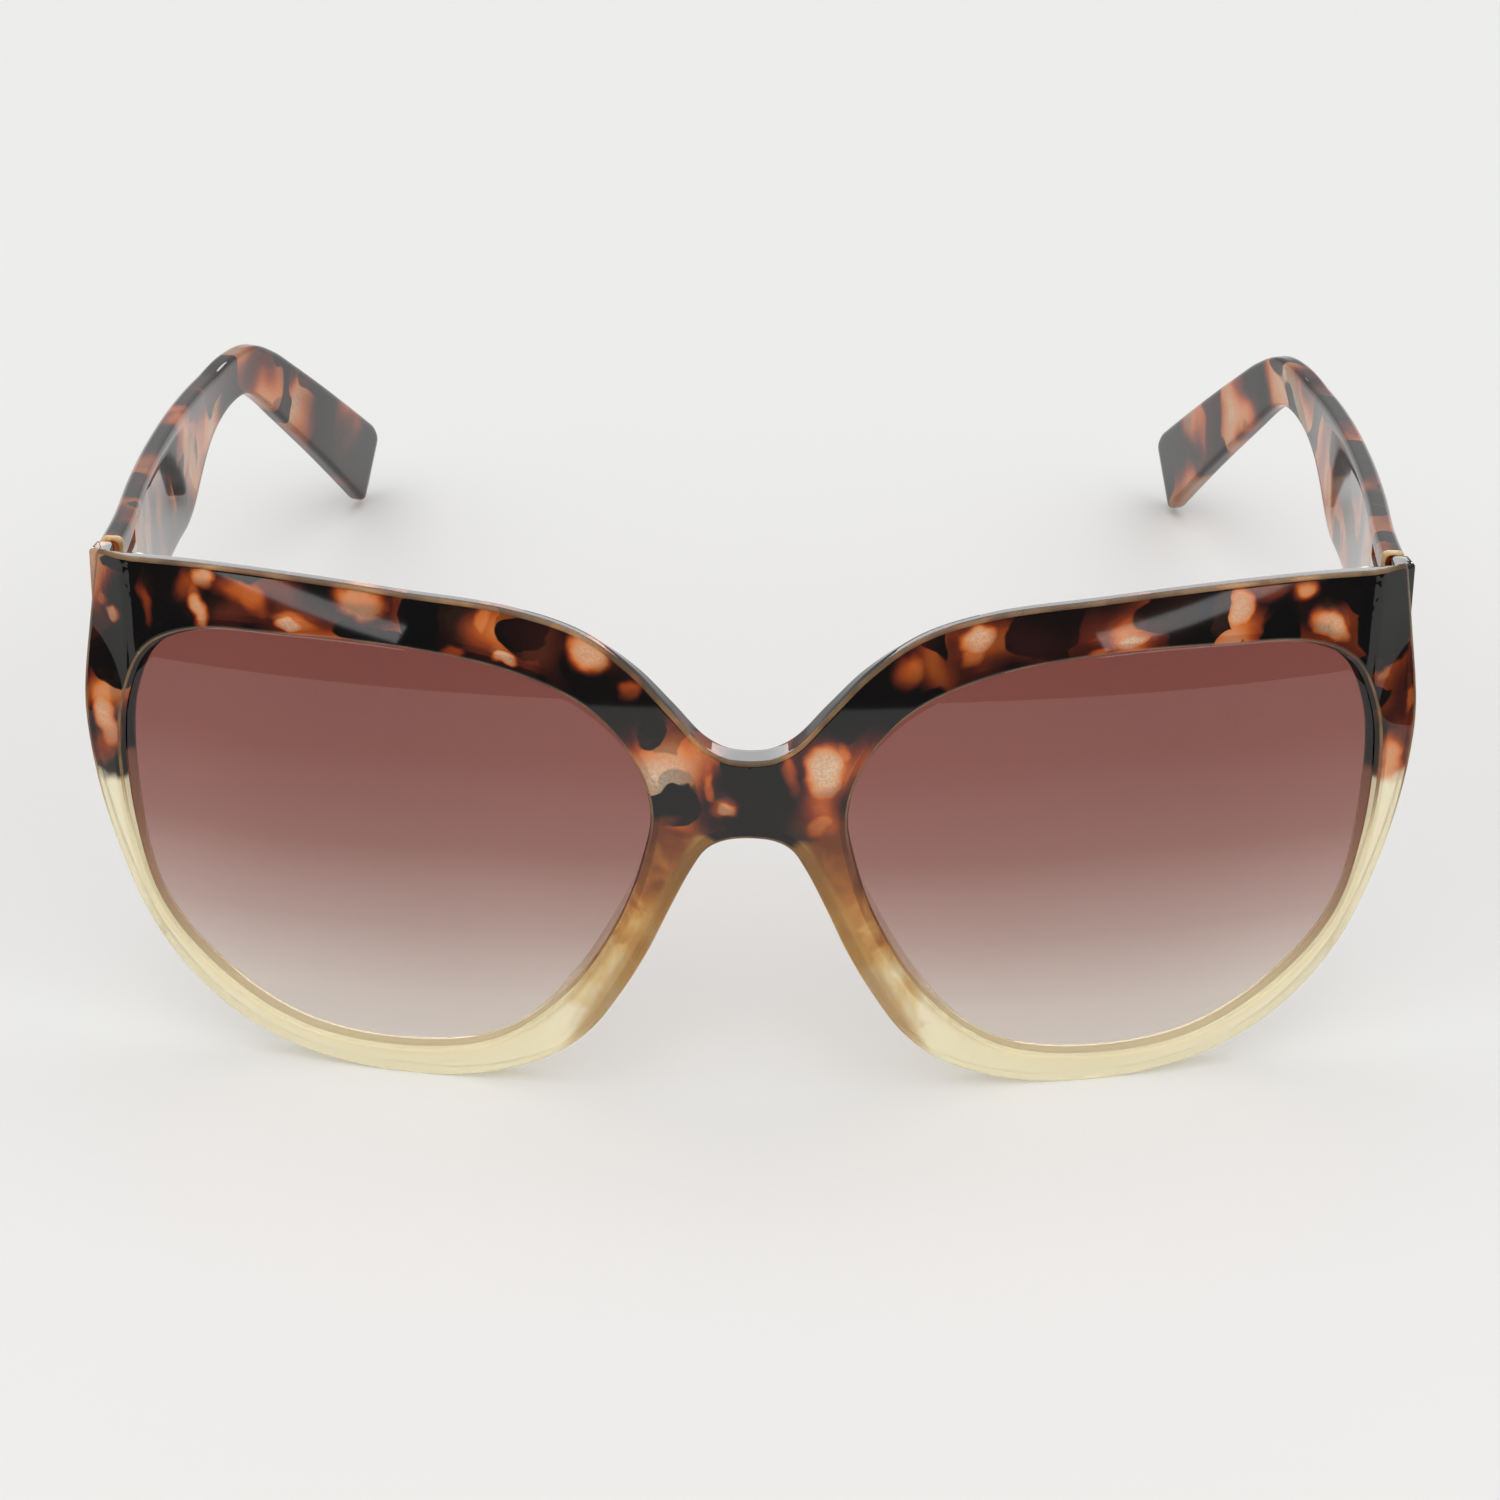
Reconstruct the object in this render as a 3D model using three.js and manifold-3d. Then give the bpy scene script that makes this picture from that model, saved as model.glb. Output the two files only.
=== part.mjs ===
// Cat eye sunglasses: a moulded front with its nose pads, two tinted lenses and two temples that fold on
// five-knuckle metal hinges. Millimetres, X across the face, +Y from the front to the temple tips, +Z up.
// They stand open on the lower rims and the temple tips. The wearer's right is at -X.
import * as THREE from "three";
import { mergeVertices } from "three/addons/utils/BufferGeometryUtils.js";
import Module from "manifold-3d";

const wasm = await Module();
wasm.setup();

// Every part is drawn with the bridge's front face near Y 0, then all of them move forward by this much.
const depthToCentre = 75.54;
const weldDistance = 1e-4;

// Raw solids run from just below the table to well above the brow, and are cut to shape from that.
const below = -1;
const tall = 80;

// Front: a plate bent round an upright axis behind it, leaning back.
const wrapRadius = 250;
const wrapFacets = 34;
const leanSlope = Math.tan(THREE.MathUtils.degToRad(5));
const frontThickness = 3.2;
const frontReach = 79;

// One half of the front's edge, each point across and up: from under the bridge round the rim to the top corner.
const rimEdge = [
  [0, 32.3],
  [2.6, 32.0],
  [4.7, 30.9],
  [6.4, 28.3],
  [8.8, 23.3],
  [11.1, 18.1],
  [14.1, 12.6],
  [17.6, 7.5],
  [21.6, 4.0],
  [27, 1.6],
  [33, 0.2],
  [39, -0.2],
  [46, 0.4],
  [53, 2.1],
  [59, 5.1],
  [64, 9.4],
  [68.2, 15.1],
  [71.6, 23.2],
  [74, 32.4],
  [75, 42],
  [74.5, 51.5],
  [73.2, 60.2],
];
// From the top corner along the brow to the middle of the bridge.
const browEdge = [
  [73.2, 60.2],
  [62, 60.8],
  [50.5, 60.7],
  [38.5, 60.0],
  [26.5, 58.9],
  [18.6, 56.5],
  [13.2, 52.5],
  [8.6, 47.4],
  [5.1, 43.4],
  [2.4, 41.9],
  [0, 41.6],
];
const edgeSteps = 58;
const browSteps = 30;

// The brow's top slopes down to the back, from a flat edge at the front. The bridge keeps a square top.
const browFlat = 1.2;
const browSlope = 0.8;
const bridgeHalfWidth = 5;
const browStart = 20;

// Lens opening, once round from the nose side.
const lensOpening = [
  [10.9, 35.2],
  [12.6, 41.1],
  [17.6, 47.4],
  [26.5, 51.6],
  [38.5, 53.5],
  [52.5, 53.6],
  [62, 52.8],
  [67.4, 49.8],
  [70.2, 43.8],
  [71, 37.2],
  [70.2, 27.6],
  [67.2, 17.6],
  [61.2, 10.4],
  [52, 4.7],
  [41, 3.0],
  [29, 4.9],
  [20.3, 11.7],
  [14.7, 20.6],
  [11.9, 28.6],
];
const openingSteps = 60;
const lensThickness = 1.6;
const lensSetback = 0.8;
const grooveSlack = 0.15;
const grooveDepth = 0.9;
const lensOverlap = 0.7;

// Nose pads: the rim beside the nose, carried on behind the front. Each point back and up.
const padProfile = [
  [1.8, 30.4],
  [4.6, 28.6],
  [7.4, 23.6],
  [8.2, 17.2],
  [7.3, 10.6],
  [5.2, 5.6],
  [1.8, 3.2],
];
const padInner = 3;
const padOuter = 30;

// Corner lugs behind the brow's ends. The temples close against them.
const jointDepth = 15.25;
const lugInner = 71.05;
const lugOuter = 74.9;
const lugOuterAtJoint = 73.1;
const lugCorner = 0.9;
const lugBottom = 43.7;
const lugRoot = 12.6;

// Temples: a board that narrows behind the ear. The profile's points are back and up.
const jointGap = 0.3;
const templeThickness = 2.6;
const templeTop = 59.9;
const templeBottom = 43.7;
const boardBack = new THREE.Vector2(95, 43.5);
const bend = [
  [103.5, 41.6],
  [110.5, 39.4],
  [116.5, 35.6],
];
const tipTop = new THREE.Vector2(148, 9.4);
const tipCorner = new THREE.Vector2(150.6, 7.2);
const tipEnd = new THREE.Vector2(149, 5.1);
const heelEnd = new THREE.Vector2(145.4, 1.15);
const heelCorner = new THREE.Vector2(143.4, -1.03);
const tipBottom = new THREE.Vector2(141.5, 1.0);
const crook = [
  [112, 32.2],
  [108, 35.3],
  [103, 36.7],
  [96.5, 37.0],
  [90, 36.1],
  [84, 33.9],
  [79.5, 32.5],
  [74.5, 32.4],
  [68, 33.8],
];
// The temple's inner face seen from above: back, and out from the middle.
const templePlan = [
  [15, 70.2],
  [30, 70.25],
  [46, 71.0],
  [62, 71.3],
  [80, 70.9],
  [95, 69.6],
  [107, 67.3],
  [116, 64.5],
  [130, 59.9],
  [144, 55.8],
  [158, 52],
];
const templeSteps = 44;
const profileSteps = 4;
// How far each temple stands folded in from the drawn plan, in degrees. The left one is fully open.
const templeSwing = { right: 0.6, left: -1.2 };

// Hinges: five knuckles on one screw, in the hinge's own frame, with +Z along its axis.
const hingeAcross = 68.75;
const hingeDepth = jointDepth + jointGap / 2;
const hingeHeight = 53.7;
const knuckleRadius = 1.3;
const knuckleHeight = 1.2;
const knuckleGap = 0.15;
const knuckleCount = 5;
const roundSegments = 28;
const screwRadius = 0.6;
const screwClearance = 0.1;
const headRadius = 1.05;
const headHeight = 0.5;
const slotWidth = 0.3;
const slotDepth = 0.22;
const screwTail = 0.25;
const leafThickness = 0.9;
const leafFit = 0.15;
const frontLeaf = { inner: -0.8, outer: 2.05, front: -3.4, armHalf: 0.75 };
const templeLeaf = { inner: 1.4, outer: 2.35, front: 0.45, back: 9, armFront: -0.6, armBack: 1.4 };
const hingeSpan = knuckleCount * knuckleHeight + (knuckleCount - 1) * knuckleGap;

const tortoise = { color: 0x4a2116, roughness: 0.18, metalness: 0 };
const tint = { color: 0x8a5a55, roughness: 0.08, metalness: 0, transparent: true, opacity: 0.75 };
const nickel = { color: 0xc2bfb8, roughness: 0.32, metalness: 1 };
const steel = { color: 0x9d9c98, roughness: 0.3, metalness: 1 };

const lean = new THREE.Matrix4().makeShear(0, 0, 0, 0, 0, leanSlope);
const hingeFrame = new THREE.Matrix4()
  .makeTranslation(hingeAcross, hingeDepth + leanSlope * hingeHeight, hingeHeight)
  .multiply(new THREE.Matrix4().makeRotationX(-Math.atan(leanSlope)));

function solidOf(geometry) {
  const bare = new THREE.BufferGeometry();
  const loose = geometry.index ? geometry.toNonIndexed() : geometry;
  bare.setAttribute("position", loose.getAttribute("position"));
  const welded = mergeVertices(bare, weldDistance);
  return new wasm.Manifold(
    new wasm.Mesh({
      numProp: 3,
      vertProperties: welded.attributes.position.array,
      triVerts: new Uint32Array(welded.index.array),
    }),
  );
}

function geometryOf(solid) {
  const { vertProperties, triVerts, numProp } = solid.getMesh();
  const geometry = new THREE.BufferGeometry();
  geometry.setAttribute("position", new THREE.BufferAttribute(vertProperties, numProp));
  geometry.setIndex(new THREE.BufferAttribute(triVerts, 1));
  return geometry;
}

function moved(solid, matrix) {
  return solidOf(geometryOf(solid).applyMatrix4(matrix));
}

function smooth(points, steps, closed = false) {
  const knots = points.map(([across, up]) => new THREE.Vector3(across, up, 0));
  const curve = new THREE.CatmullRomCurve3(knots, closed, "centripetal");
  const all = curve.getSpacedPoints(steps).map((p) => new THREE.Vector2(p.x, p.y));
  return closed ? all.slice(0, -1) : all;
}

// Moves each point of a closed outline out along the outline's normal there.
function grown(outline, distance) {
  const turn = Math.sign(THREE.ShapeUtils.area(outline));
  return outline.map((point, i) => {
    const before = outline.at(i - 1);
    const after = outline[(i + 1) % outline.length];
    const along = after.clone().sub(before).normalize();
    return new THREE.Vector2(point.x + along.y * distance * turn, point.y - along.x * distance * turn);
  });
}

function extruded(shape, depth, curveSegments = profileSteps) {
  return new THREE.ExtrudeGeometry(shape, { depth, bevelEnabled: false, curveSegments });
}

// A front view outline, carried through the whole depth of the front.
function frontPrism(outline) {
  const geometry = extruded(new THREE.Shape(outline), tall);
  return solidOf(geometry.rotateX(Math.PI / 2).translate(0, tall / 2, 0));
}

// A side view shape, carried across from one X to another.
function sidePrism(shape, from, to) {
  const geometry = extruded(shape, to - from);
  const across = new THREE.Vector3(1, 0, 0);
  const back = new THREE.Vector3(0, 1, 0);
  const up = new THREE.Vector3(0, 0, 1);
  geometry.applyMatrix4(new THREE.Matrix4().makeBasis(back, up, across));
  return solidOf(geometry.translate(from, 0, 0));
}

// The layer of the wrapped front between two depths below its front face.
function wrapLayer(from, to) {
  const arc = (radius) => {
    const reach = Math.asin(frontReach / radius);
    return Array.from({ length: wrapFacets + 1 }, (_, i) => {
      const angle = reach * ((2 * i) / wrapFacets - 1);
      return new THREE.Vector2(radius * Math.sin(angle), wrapRadius - radius * Math.cos(angle));
    });
  };
  const shape = new THREE.Shape([...arc(wrapRadius - from), ...arc(wrapRadius - to).reverse()]);
  return solidOf(extruded(shape, tall).translate(0, 0, below));
}

function box(low, high) {
  const size = high.map((value, i) => value - low[i]);
  const centre = high.map((value, i) => (value + low[i]) / 2);
  return solidOf(new THREE.BoxGeometry(...size).translate(...centre));
}

function cylinder(radius, low, high) {
  const geometry = new THREE.CylinderGeometry(radius, radius, high - low, roundSegments);
  return solidOf(geometry.rotateX(Math.PI / 2).translate(0, 0, (low + high) / 2));
}

const flipped = new THREE.Matrix4().makeScale(-1, 1, 1);

function mirrored(solid) {
  const geometry = geometryOf(solid).applyMatrix4(flipped);
  const index = geometry.index.array;
  for (let i = 0; i < index.length; i += 3) {
    [index[i + 1], index[i + 2]] = [index[i + 2], index[i + 1]];
  }
  return solidOf(geometry);
}

function frontOutline() {
  const half = [...smooth(rimEdge, edgeSteps), ...smooth(browEdge, browSteps).slice(1)];
  const other = half.slice(1, -1).map((p) => new THREE.Vector2(-p.x, p.y));
  return [...half, ...other.reverse()];
}

const openingOutline = smooth(lensOpening, openingSteps, true);

function wrapDepth(across) {
  return wrapRadius - Math.sqrt(wrapRadius ** 2 - across ** 2);
}

// The space over the brow's sloping top, clear of the bridge.
function browRelief() {
  const low = smooth(browEdge, browSteps).map((point) => {
    const square = 1 - THREE.MathUtils.smoothstep(point.x, bridgeHalfWidth, browStart);
    const lift = browFlat + wrapDepth(point.x) + square * frontThickness;
    return new THREE.Vector2(point.x, point.y + browSlope * lift);
  });
  const start = new THREE.Vector2(frontReach, low[0].y);
  const over = [new THREE.Vector2(0, tall), new THREE.Vector2(frontReach, tall)];
  const slope = new THREE.Matrix4().makeShear(0, 0, 0, -browSlope, 0, 0);
  return moved(frontPrism([start, ...low, ...over]), slope);
}

function nosePad(outlinePrism) {
  const shape = new THREE.Shape(smooth(padProfile, padProfile.length * profileSteps));
  return sidePrism(shape, padInner, padOuter).intersect(outlinePrism);
}

function cornerLug(outlinePrism) {
  const shape = new THREE.Shape();
  shape.moveTo(lugInner, lugRoot);
  shape.lineTo(lugOuter, lugRoot);
  shape.lineTo(lugOuterAtJoint, jointDepth);
  shape.lineTo(lugInner + lugCorner, jointDepth);
  shape.quadraticCurveTo(lugInner, jointDepth, lugInner, jointDepth - lugCorner);
  const post = solidOf(extruded(shape, tall).translate(0, 0, lugBottom));
  return post.intersect(outlinePrism);
}

// Room for the front leaf of the hinge, open to the back.
function frontLeafPocket() {
  const half = hingeSpan / 2 + leafFit;
  const low = [frontLeaf.inner - leafFit, frontLeaf.front - leafFit, -half];
  const high = [frontLeaf.outer + leafFit, -knuckleRadius, half];
  return moved(box(low, high), hingeFrame);
}

function frameFront() {
  const prism = frontPrism(frontOutline());
  const extras = nosePad(prism).add(cornerLug(prism));
  const opening = frontPrism(openingOutline);
  const groove = frontPrism(grown(openingOutline, grooveDepth)).intersect(
    wrapLayer(lensSetback - grooveSlack, lensSetback + lensThickness + grooveSlack),
  );
  const cut = opening.add(groove);
  const relief = browRelief();
  const upright = prism
    .intersect(wrapLayer(0, frontThickness))
    .subtract(relief)
    .subtract(mirrored(relief))
    .add(extras)
    .add(mirrored(extras))
    .subtract(cut)
    .subtract(mirrored(cut));
  const pocket = frontLeafPocket();
  const table = box([-tall, -tall, -tall], [tall, tall, 0]);
  return moved(upright, lean).subtract(pocket).subtract(mirrored(pocket)).subtract(table);
}

function lens() {
  const prism = frontPrism(grown(openingOutline, lensOverlap));
  return moved(prism.intersect(wrapLayer(lensSetback, lensSetback + lensThickness)), lean);
}

function templeProfile() {
  const start = jointDepth + jointGap;
  const shape = new THREE.Shape();
  const bendKnots = bend.map(([back, up]) => new THREE.Vector2(back, up));
  const crookKnots = crook.map(([back, up]) => new THREE.Vector2(back, up));
  shape.moveTo(start + leanSlope * templeTop, templeTop);
  shape.lineTo(boardBack.x, boardBack.y);
  shape.splineThru(bendKnots);
  shape.lineTo(tipTop.x, tipTop.y);
  shape.quadraticCurveTo(tipCorner.x, tipCorner.y, tipEnd.x, tipEnd.y);
  shape.lineTo(heelEnd.x, heelEnd.y);
  shape.quadraticCurveTo(heelCorner.x, heelCorner.y, tipBottom.x, tipBottom.y);
  shape.lineTo(crookKnots[0].x, crookKnots[0].y);
  shape.splineThru(crookKnots.slice(1));
  shape.lineTo(start + leanSlope * templeBottom, templeBottom);
  return shape;
}

// The temple's thickness in plan, from its inner face outwards.
function templePlanSolid() {
  const inner = smooth(
    templePlan.map(([back, across]) => [across, back]),
    templeSteps,
  );
  const outer = inner.map((point, i) => {
    const before = inner[Math.max(i - 1, 0)];
    const after = inner[Math.min(i + 1, templeSteps)];
    const along = after.clone().sub(before).normalize();
    return new THREE.Vector2(point.x + along.y * templeThickness, point.y - along.x * templeThickness);
  });
  return solidOf(extruded(new THREE.Shape([...outer, ...inner.reverse()]), tall).translate(0, 0, below));
}

function templeLeafPocket() {
  const half = hingeSpan / 2 + leafFit;
  const low = [0, -knuckleRadius, -half];
  const high = [templeLeaf.outer + leafFit, templeLeaf.back + leafFit, half];
  return moved(box(low, high), hingeFrame);
}

function temple() {
  const board = sidePrism(templeProfile(), 0, tall);
  return board.intersect(templePlanSolid()).subtract(templeLeafPocket());
}

function knuckleLow(index) {
  return index * (knuckleHeight + knuckleGap) - hingeSpan / 2;
}

// A leaf with a knuckle on an arm at every second place, bored for the screw.
function hingeLeaf(leafLow, leafHigh, armLow, armHigh, firstKnuckle) {
  let leaf = box(leafLow, leafHigh);
  for (let i = firstKnuckle; i < knuckleCount; i += 2) {
    const low = knuckleLow(i);
    const high = low + knuckleHeight;
    const knuckle = cylinder(knuckleRadius, low, high).add(box([...armLow, low], [...armHigh, high]));
    leaf = leaf.add(knuckle);
  }
  return leaf.subtract(cylinder(screwRadius + screwClearance, -hingeSpan, hingeSpan));
}

function hingeFront() {
  const half = hingeSpan / 2;
  const leafBack = frontLeaf.front + leafThickness;
  return hingeLeaf(
    [frontLeaf.inner, frontLeaf.front, -half],
    [frontLeaf.outer, leafBack, half],
    [-frontLeaf.armHalf, leafBack - leafFit],
    [frontLeaf.armHalf, 0],
    0,
  );
}

function hingeTemple() {
  const low = knuckleLow(1);
  return hingeLeaf(
    [templeLeaf.inner, templeLeaf.front, low],
    [templeLeaf.outer, templeLeaf.back, -low],
    [0, templeLeaf.armFront],
    [templeLeaf.inner + leafFit, templeLeaf.armBack],
    1,
  );
}

function hingeScrew() {
  const top = hingeSpan / 2 + leafFit;
  const shank = cylinder(screwRadius, -hingeSpan / 2 - screwTail, top + headHeight / 2);
  const head = cylinder(headRadius, top, top + headHeight);
  const slot = box(
    [-headRadius, -slotWidth / 2, top + headHeight - slotDepth],
    [headRadius, slotWidth / 2, top + headHeight + slotDepth],
  );
  return shank.add(head).subtract(slot);
}

function meshOf(name, solid, look) {
  const geometry = geometryOf(solid);
  geometry.computeVertexNormals();
  const mesh = new THREE.Mesh(geometry, new THREE.MeshStandardMaterial(look));
  mesh.name = name;
  return mesh;
}

// The lens, temple and hinge of one side, drawn at +X and mirrored for the wearer's right.
function side(name, mirror) {
  const group = new THREE.Group();
  const hinge = new THREE.Group();
  const swing = new THREE.Group();
  const templeInHinge = moved(temple(), hingeFrame.clone().invert());
  swing.add(
    meshOf(`temple_${name}`, templeInHinge, tortoise),
    meshOf(`hinge_temple_${name}`, hingeTemple(), nickel),
  );
  swing.rotation.z = THREE.MathUtils.degToRad(templeSwing[name]);
  hinge.add(
    meshOf(`hinge_front_${name}`, hingeFront(), nickel),
    meshOf(`hinge_screw_${name}`, hingeScrew(), steel),
    swing,
  );
  hingeFrame.decompose(hinge.position, hinge.quaternion, hinge.scale);
  group.add(meshOf(`lens_${name}`, lens(), tint), hinge);
  group.scale.x = mirror;
  return group;
}

const glasses = new THREE.Group();
glasses.add(meshOf("frame_front", frameFront(), tortoise), side("right", -1), side("left", 1));
glasses.position.y = -depthToCentre;

const group = new THREE.Group();
group.name = "cat_eye_sunglasses";
group.add(glasses);

export default group;
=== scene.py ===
import math

import bmesh
import bpy
import numpy as np
from mathutils import Matrix, Vector


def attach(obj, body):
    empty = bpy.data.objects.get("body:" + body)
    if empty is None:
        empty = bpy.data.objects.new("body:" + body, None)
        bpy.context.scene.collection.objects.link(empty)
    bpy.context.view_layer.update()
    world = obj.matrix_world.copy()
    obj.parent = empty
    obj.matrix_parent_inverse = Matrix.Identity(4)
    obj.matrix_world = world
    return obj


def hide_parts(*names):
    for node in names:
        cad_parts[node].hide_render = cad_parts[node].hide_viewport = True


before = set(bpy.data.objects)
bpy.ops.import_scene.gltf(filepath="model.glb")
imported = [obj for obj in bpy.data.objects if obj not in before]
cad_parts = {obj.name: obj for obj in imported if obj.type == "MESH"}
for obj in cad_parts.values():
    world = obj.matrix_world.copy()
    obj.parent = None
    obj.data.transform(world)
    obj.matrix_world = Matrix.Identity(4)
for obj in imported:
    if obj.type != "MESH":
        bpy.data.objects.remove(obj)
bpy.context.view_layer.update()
mm = 0.001

# Where every drawing sits: the front is drawn in millimetres from the bridge's face, then moved forward.
placing = {
    "depthToCentre": 75.54,
    "wrapRadius": 250.0,
    "leanDegrees": 5.0,
}
leanSlope = math.tan(math.radians(placing["leanDegrees"]))


def splineThrough(points, closed=False, perSpan=30):
    # a centripetal curve through the points, as the front and temples are drawn
    knots = [np.array(p, float) for p in points]
    count = len(knots)
    spans = count if closed else count - 1
    made = []
    for i in range(spans):
        if closed:
            p0, p1, p2, p3 = (knots[(i + k) % count] for k in (-1, 0, 1, 2))
        else:
            p1, p2 = knots[i], knots[i + 1]
            p0 = knots[i - 1] if i else 2 * p1 - p2
            p3 = knots[i + 2] if i + 2 < count else 2 * p2 - p1
        d0, d1, d2 = (max(np.linalg.norm(b - a) ** 0.5, 1e-4) for a, b in ((p0, p1), (p1, p2), (p2, p3)))
        t1 = ((p1 - p0) / d0 - (p2 - p0) / (d0 + d1) + (p2 - p1) / d1) * d1
        t2 = ((p2 - p1) / d1 - (p3 - p1) / (d1 + d2) + (p3 - p2) / d2) * d1
        for step in range(perSpan):
            t = step / perSpan
            made.append(
                p1
                + t1 * t
                + (-3 * p1 + 3 * p2 - 2 * t1 - t2) * t**2
                + (2 * p1 - 2 * p2 + t1 + t2) * t**3
            )
    if not closed:
        made.append(knots[-1])
    return np.array(made)


def evenly(points, count, closed=False):
    # the same line with its points an equal way apart
    line = np.vstack([points, points[:1]]) if closed else np.asarray(points)
    along = np.concatenate([[0], np.cumsum(np.linalg.norm(np.diff(line, axis=0), axis=1))])
    places = np.linspace(0, along[-1], count, endpoint=not closed)
    return np.stack([np.interp(places, along, line[:, k]) for k in range(line.shape[1])], axis=1)


def softened(points, spread):
    # takes the sharpness out of a closed line's corners, spread in points
    reach = int(math.ceil(spread * 3))
    weights = np.exp(-0.5 * (np.arange(-reach, reach + 1) / spread) ** 2)
    weights /= weights.sum()
    return sum(w * np.roll(points, k, axis=0) for w, k in zip(weights, range(-reach, reach + 1)))


def outward(points):
    # unit normals of a closed line, pointing away from what it encloses
    after = np.roll(points, -1, axis=0)
    along = after - np.roll(points, 1, axis=0)
    along /= np.linalg.norm(along, axis=1)[:, None]
    turn = np.sign(np.sum(points[:, 0] * after[:, 1] - after[:, 0] * points[:, 1]))
    return np.stack([along[:, 1], -along[:, 0]], axis=1) * turn


def smoothStep(value, low, high):
    t = np.clip((value - low) / (high - low), 0, 1)
    return t * t * (3 - 2 * t)


def quarterRound(steps=6):
    # (in from the edge, down the wall) shares of the radius, from the face to the wall
    return [(1 - math.sin(a), 1 - math.cos(a)) for a in np.linspace(0, math.pi / 2, steps)]


def addGrid(mesh, rows, closed, material=0):
    # a sheet of quads through rows of points; closed joins each row's end to its start
    made = [[mesh.verts.new(p) for p in row] for row in rows]
    width = len(rows[0])
    for low, high in zip(made, made[1:]):
        for i in range(width if closed else width - 1):
            j = (i + 1) % width
            face = mesh.faces.new((low[i], low[j], high[j], high[i]))
            face.material_index = material
    return made


def tidyMesh(mesh, weld=0.004):
    bmesh.ops.remove_doubles(mesh, verts=mesh.verts, dist=weld)
    bmesh.ops.dissolve_degenerate(mesh, edges=mesh.edges, dist=weld / 4)
    bmesh.ops.recalc_face_normals(mesh, faces=mesh.faces)


def markCrispEdges(mesh, degrees=38):
    # faces shade smoothly, except over edges sharper than the angle
    limit = math.radians(degrees)
    for face in mesh.faces:
        face.smooth = True
    for edge in mesh.edges:
        edge.smooth = not (len(edge.link_faces) == 2 and edge.calc_face_angle(0) > limit)


def finishMesh(mesh, name, materials):
    # millimetres become metres
    bmesh.ops.scale(mesh, vec=(mm, mm, mm), verts=mesh.verts)
    markCrispEdges(mesh)
    data = bpy.data.meshes.new(name)
    mesh.to_mesh(data)
    mesh.free()
    for material in materials:
        data.materials.append(material)
    made = bpy.data.objects.new(name, data)
    bpy.context.scene.collection.objects.link(made)
    return made


def dropScraps(mesh, fewest=40):
    # a cut can leave specks of a few faces that hang on nothing
    left, scraps = set(mesh.verts), []
    while left:
        island, reached = [], [left.pop()]
        while reached:
            vert = reached.pop()
            island.append(vert)
            for edge in vert.link_edges:
                other = edge.other_vert(vert)
                if other in left:
                    left.remove(other)
                    reached.append(other)
        if len(island) < fewest:
            scraps += island
    bmesh.ops.delete(mesh, geom=scraps, context="VERTS")


def applyBoolean(target, tool, operation):
    change = target.modifiers.new("cut", "BOOLEAN")
    change.object = tool
    change.operation = operation
    change.solver = "MANIFOLD"
    bpy.context.view_layer.update()
    evaluated = target.evaluated_get(bpy.context.evaluated_depsgraph_get())
    result = bpy.data.meshes.new_from_object(evaluated)
    target.modifiers.clear()
    old = target.data
    target.data = result
    bpy.data.meshes.remove(old)
    bpy.data.objects.remove(tool)
    mesh = bmesh.new()
    mesh.from_mesh(target.data)
    dropScraps(mesh)
    markCrispEdges(mesh)
    mesh.to_mesh(target.data)
    mesh.free()


def boxObject(low, high, matrix):
    mesh = bmesh.new()
    bmesh.ops.create_cube(mesh, size=1)
    for vert in mesh.verts:
        vert.co = Vector([(l + h) / 2 + c * (h - l) for l, h, c in zip(low, high, vert.co)])
    bmesh.ops.transform(mesh, matrix=matrix, verts=mesh.verts)
    return finishMesh(mesh, "cutter", [])


def addNode(tree, kind, **settings):
    made = tree.nodes.new(kind)
    for name, value in settings.items():
        setattr(made, name, value)
    return made


def feed(tree, socket, value):
    if isinstance(value, bpy.types.NodeSocket):
        tree.links.new(value, socket)
    else:
        socket.default_value = value


def maths(tree, operation, *values, clamp=False):
    made = addNode(tree, "ShaderNodeMath", operation=operation, use_clamp=clamp)
    for socket, value in zip(made.inputs, values):
        feed(tree, socket, value)
    return made.outputs[0]


def vectorMaths(tree, operation, *values):
    made = addNode(tree, "ShaderNodeVectorMath", operation=operation)
    for socket, value in zip(made.inputs, values):
        feed(tree, socket, value)
    return made.outputs[0]


def softRange(tree, value, low, high, outLow=0.0, outHigh=1.0):
    made = addNode(tree, "ShaderNodeMapRange", interpolation_type="SMOOTHSTEP")
    names = ("Value", "From Min", "From Max", "To Min", "To Max")
    for name, given in zip(names, (value, low, high, outLow, outHigh)):
        feed(tree, made.inputs[name], given)
    return made.outputs["Result"]


def noise(tree, vector, scale, detail=2.0, roughness=0.5, distortion=0.0):
    made = addNode(tree, "ShaderNodeTexNoise")
    names = ("Vector", "Scale", "Detail", "Roughness", "Distortion")
    for name, given in zip(names, (vector, scale, detail, roughness, distortion)):
        feed(tree, made.inputs[name], given)
    return made


def mixColour(tree, share, first, second):
    made = addNode(tree, "ShaderNodeMix", data_type="RGBA")
    feed(tree, made.inputs[0], share)
    feed(tree, made.inputs[6], first)
    feed(tree, made.inputs[7], second)
    return made.outputs[2]


def ramp(tree, value, stops, smooth=True):
    made = addNode(tree, "ShaderNodeValToRGB")
    made.color_ramp.interpolation = "EASE" if smooth else "LINEAR"
    while len(made.color_ramp.elements) < len(stops):
        made.color_ramp.elements.new(0.5)
    for element, (place, colour) in zip(made.color_ramp.elements, stops):
        element.position = place
        element.color = (*colour, 1)
    feed(tree, made.inputs["Fac"], value)
    return made.outputs["Color"]


def splitPlace(tree, place):
    # across, back and up
    made = addNode(tree, "ShaderNodeSeparateXYZ")
    feed(tree, made.inputs[0], place)
    return made.outputs


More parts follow.
